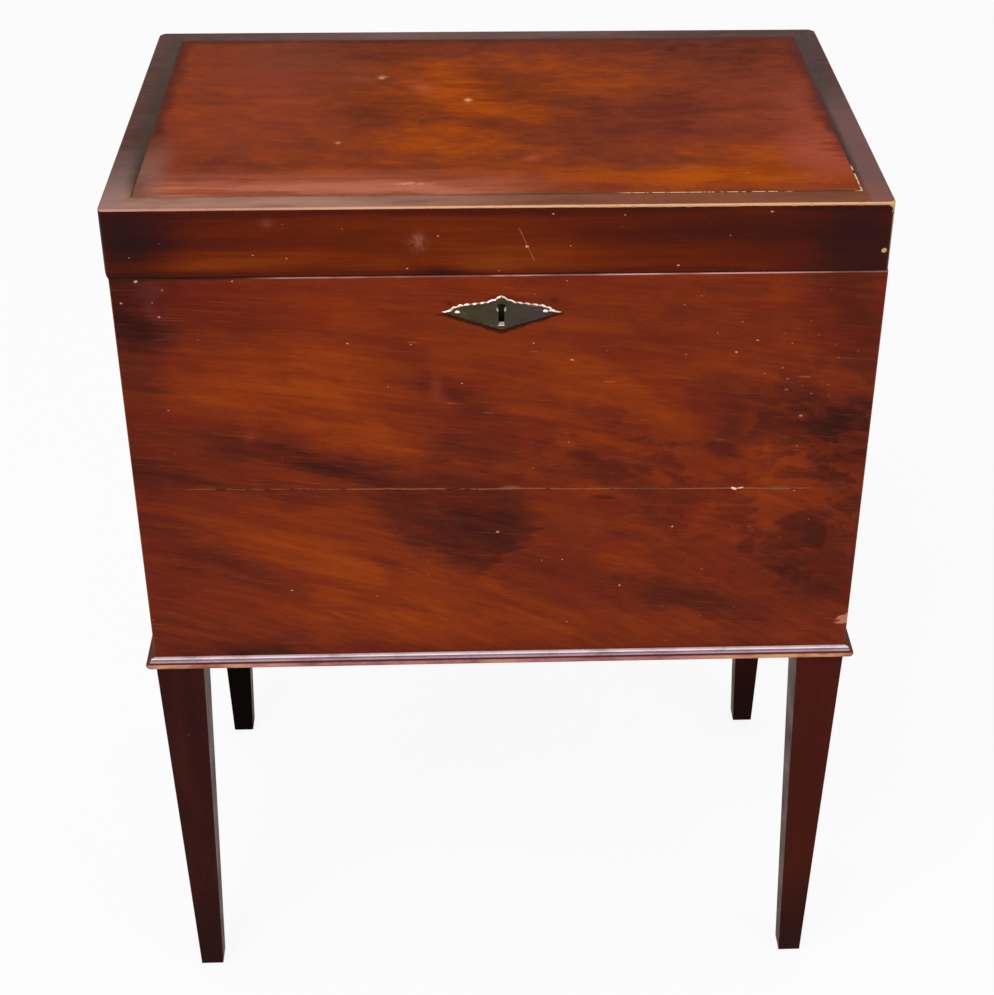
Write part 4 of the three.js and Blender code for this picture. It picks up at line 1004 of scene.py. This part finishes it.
def leg_wood():
    wood = Wood("leg_mahogany", "z", "x", 11)
    x, y, z = wood.x, wood.y, wood.z
    tone = wood.tone(0.46, 0.42, 0.25, fine=0.4)
    glow = wood.cloud((40, 40, 120), 2, 0.5, shift=(7, 7, 7))
    tone += (glow - 0.5) * 0.5
    wood.colour = wood.ramp(tone, [(0.1, (30, 12, 12)), (0.45, (49, 20, 18)), (0.7, (66, 25, 18)),
                                   (1, (88, 36, 20))])
    wood.stain((82, 26, 10), x.span(0, 10) * 0.35)
    scuffed = wood.cloud((8, 8, 11), 5, 0.65, shift=(2, 2, 2))
    wood.stain((34, 17, 15), (z + scuffed * 22).span(26, 120, 0.85, 0))
    # Painted shade: the front faces of the back legs darkened, nearly black on the back left leg.
    rear_front_shade = y.span(0, 10) * wood.normal[1].span(-0.3, -0.8)
    wood.stain((2, 2, 2), rear_front_shade * x.span(10, 0, 0.5, 1))
    # Painted light on the legs' inner faces: a grey sheen on the front legs, brighter near the top, and
    # painted shade on the back legs.
    inner = wood.normal[0] * x.sign() < -0.5
    sheen = wood.mix(z.span(250, 290), (52, 36, 34), (60, 58, 50))
    wood.stain(sheen, inner * (y < 0) * 0.85)
    wood.stain((10, 6, 6), inner * y.span(0, 10) * x.span(10, 0) * 0.8)
    chips = wood.nicks(14, 0.16, 4, flat=False)
    wood.stain((150, 120, 100), chips * 0.7)
    return wood.polish(tone, chips * 0.5, gloss=(0.32, 0.5), specular=0.03)


def moulding_wood(name, along, seed, front):
    wood = Wood(name, along, "z", seed)
    tone = wood.tone(0.5, 0.5, 0.3)
    uneven = wood.cloud((26, 26, 6), 4, 0.6, shift=(3, 3, 3))
    wood.colour = wood.ramp(tone, [(0.1, (56, 24, 20)), (0.5, (84, 38, 30)), (0.9, (120, 64, 50))])
    if front:
        # Painted highlights with some wear on the crests of the front moulding, and painted shade in its
        # grooves.
        bands = [  # height of the middle, half height, share, colour
            (315.45, 0.6, 1, (230, 212, 220)), (314.4, 0.25, 0.7, (66, 44, 50)),
            (313.6, 0.75, 0.9, (178, 150, 162)), (312.65, 0.2, 0.5, (84, 54, 60)),
        ]
        for middle, half, share, tint in bands:
            band = abs(wood.z - middle).span(half * 0.6, half * 1.2, share, 0)
            wood.stain(tint, band * uneven.span(0.3, 0.55, 0.6, 1))
        torus = wood.ramp(uneven, [(0.3, (122, 68, 66)), (0.48, (162, 104, 102)), (0.62, (178, 120, 108)),
                                   (0.75, (194, 134, 100))])
        tan_end = wood.x.span(120, 200).most(wood.x.span(-150, -215, 0, 0.7))
        tan = wood.mix(uneven.span(0.4, 0.62), (140, 78, 44), (204, 146, 98))
        wood.stain(wood.mix(tan_end * 0.85, torus, tan), wood.z.span(312.6, 312.3) * 0.92)
        # Painted shade on the lower, downward half of the torus.
        wood.stain((74, 36, 26), wood.z.span(310.2, 309.3, 0, 0.35))
    return wood.polish(tone, 0.3, gloss=(0.3, 0.45), specular=0.1, lustre=0.05, pore_depth=0.25)


def inner_wood(name, along, seen, seed):
    wood = Wood(name, along, seen, seed)
    tone = wood.tone(0.5, 0.8, 0.35)
    wood.colour = wood.ramp(tone, [(0.1, (58, 34, 22)), (0.5, (106, 70, 45)), (0.9, (140, 100, 68))])
    stain = wood.cloud((55, 55, 40), 4, 0.6, shift=wood.seed)
    wood.stain((52, 30, 22), stain.span(0.5, 0.72, 0, 0.6))
    return wood.polish(tone, 0, gloss=(0.6, 0.78), specular=0.15, pore_depth=0.6)


# Metal


def aged_brass(name, plate):
    """Brass of the hinges and the lock, or of the plate, which is darker, with painted highlights on its
    upper edges and painted shade on its lower ones.
    """
    metal = Shader(name)
    cloud = metal.cloud((14, 14, 7), 4, 0.6)
    pits = metal.cloud((1.1, 1.1, 1.1), 3, 0.6)
    metal.colour = metal.ramp(cloud, [(0.3, (76, 58, 34)), (0.5, (110, 88, 52)), (0.7, (140, 114, 72))])
    if plate:
        metal.colour = metal.ramp(cloud, [(0.3, (50, 43, 28)), (0.5, (64, 56, 36)), (0.7, (78, 68, 46))])
        metal.stain((62, 54, 50), metal.x.span(-24, 30, 0, 0.9))
        metal.stain((52, 34, 24), abs(metal.x).span(27, 36, 0, 0.6))
        # Painted highlight on the upward bevels and painted shade on the downward ones.
        metal.stain((240, 216, 196), metal.normal[2].span(0.04, 0.2))
        metal.stain((34, 24, 18), metal.normal[2].span(-0.2, -0.45))
    metal.stain((30, 24, 18), pits.span(0.58, 0.72, 0, 0.5))
    roughness = cloud.span(0.3, 0.7, 0.3, 0.48, smooth=False)
    return metal.finish(roughness, pits, 6e-05, metallic=0.85, specular=0.5)


def old_iron():
    metal = Shader("old_iron")
    cloud = metal.cloud((9, 9, 9), 5, 0.65)
    fine = metal.cloud((0.9, 0.9, 0.9), 3, 0.6)
    metal.colour = metal.ramp(cloud, [(0.3, (40, 37, 35)), (0.55, (66, 62, 58)), (0.75, (92, 70, 54))])
    roughness = cloud.span(0.3, 0.7, 0.42, 0.7, smooth=False)
    return metal.finish(roughness, fine, 0.0001, metallic=0.7, specular=0.5)


# Dressing the pieces


def dress(material, *names):
    for name in names:
        mesh = pieces[name].data
        mesh.materials.clear()
        mesh.materials.append(material)


bpy.context.scene.view_settings.view_transform = "Standard"
add_camera()
add_world()
add_floor()
add_light("key", (-0.9, -1.7, 2.2), (0, 0, 0.4), size=1.6, power=30)
add_light("fill", (1.5, -1.5, 1.1), (0, 0, 0.35), size=1.4, power=8)

pieces = dict(nodes)
slotted = {slot: [name for name in nodes if slots[name] == slot] for slot in slots.values()}
case_planes = planes_of(CASE_LOW, CASE_HIGH)
case_planes.remove((2, CASE_LOW[2] / 1000))
for name in slotted["case_mahogany"]:
    pieces[name] = eased(name, case_planes, CASE_BEVEL)
lid_planes, lid_corners = planes_of(LID_LOW, LID_HIGH), (LID_LOW, LID_HIGH, LID_RADII)
for side in ("front", "back", "left", "right"):
    rim, band = f"lid_rim_{side}", f"lid_band_{side}"
    pieces[rim] = eased(rim, lid_planes, RIM_BEVEL, corners=lid_corners, foot=True)
    pieces[band] = eased(band, lid_planes, BAND_BEVEL, corners=lid_corners)
for name in slotted["leg_mahogany"]:
    pieces[name] = eased(name, None, LEG_BEVEL, least=0.2)
for name in slotted["moulding_mahogany"]:
    pieces[name] = moulding_piece(name)
pieces["escutcheon"] = lozenge_plate()

dress(case_front(), "front_upper_board", "front_lower_board")
dress(case_side("case_back", 3, "x", "z"), "back_board")
dress(case_side("case_left", 4, "y", "z"), "side_left")
dress(case_side("case_right", 6, "y", "z"), "side_right")
dress(lid_rim("lid_front", "x", 7, True), "lid_rim_front")
dress(lid_rim("lid_back", "x", 8, False), "lid_rim_back")
dress(lid_rim("lid_sides", "y", 10, False), "lid_rim_left", "lid_rim_right")
dress(top_field(), "lid_field")
dress(top_band("band_front_back", "x", "y", 12), "lid_band_front", "lid_band_back")
dress(top_band("band_sides", "x", "y", 13), "lid_band_left", "lid_band_right")
dress(stringing(), *slotted["pale_stringing"])
dress(leg_wood(), *slotted["leg_mahogany"])
dress(moulding_wood("moulding_front", "x", 14, True), "moulding_front")
dress(moulding_wood("moulding_sides", "y", 15, False), "moulding_left", "moulding_right")
deep = [name for name in slotted["inner_wood"] if name.startswith("divider_cross")]
dress(inner_wood("inner_wood_across", "x", "y", 16), *(set(slotted["inner_wood"]) - set(deep)))
dress(inner_wood("inner_wood_deep", "y", "z", 17), *deep)
plate = [name for name in slotted["aged_brass"] if name.startswith("escutcheon")]
dress(aged_brass("plate_brass", True), *plate)
dress(aged_brass("hinge_brass", False), *(set(slotted["aged_brass"]) - set(plate)))
dress(old_iron(), *slotted["old_iron"])
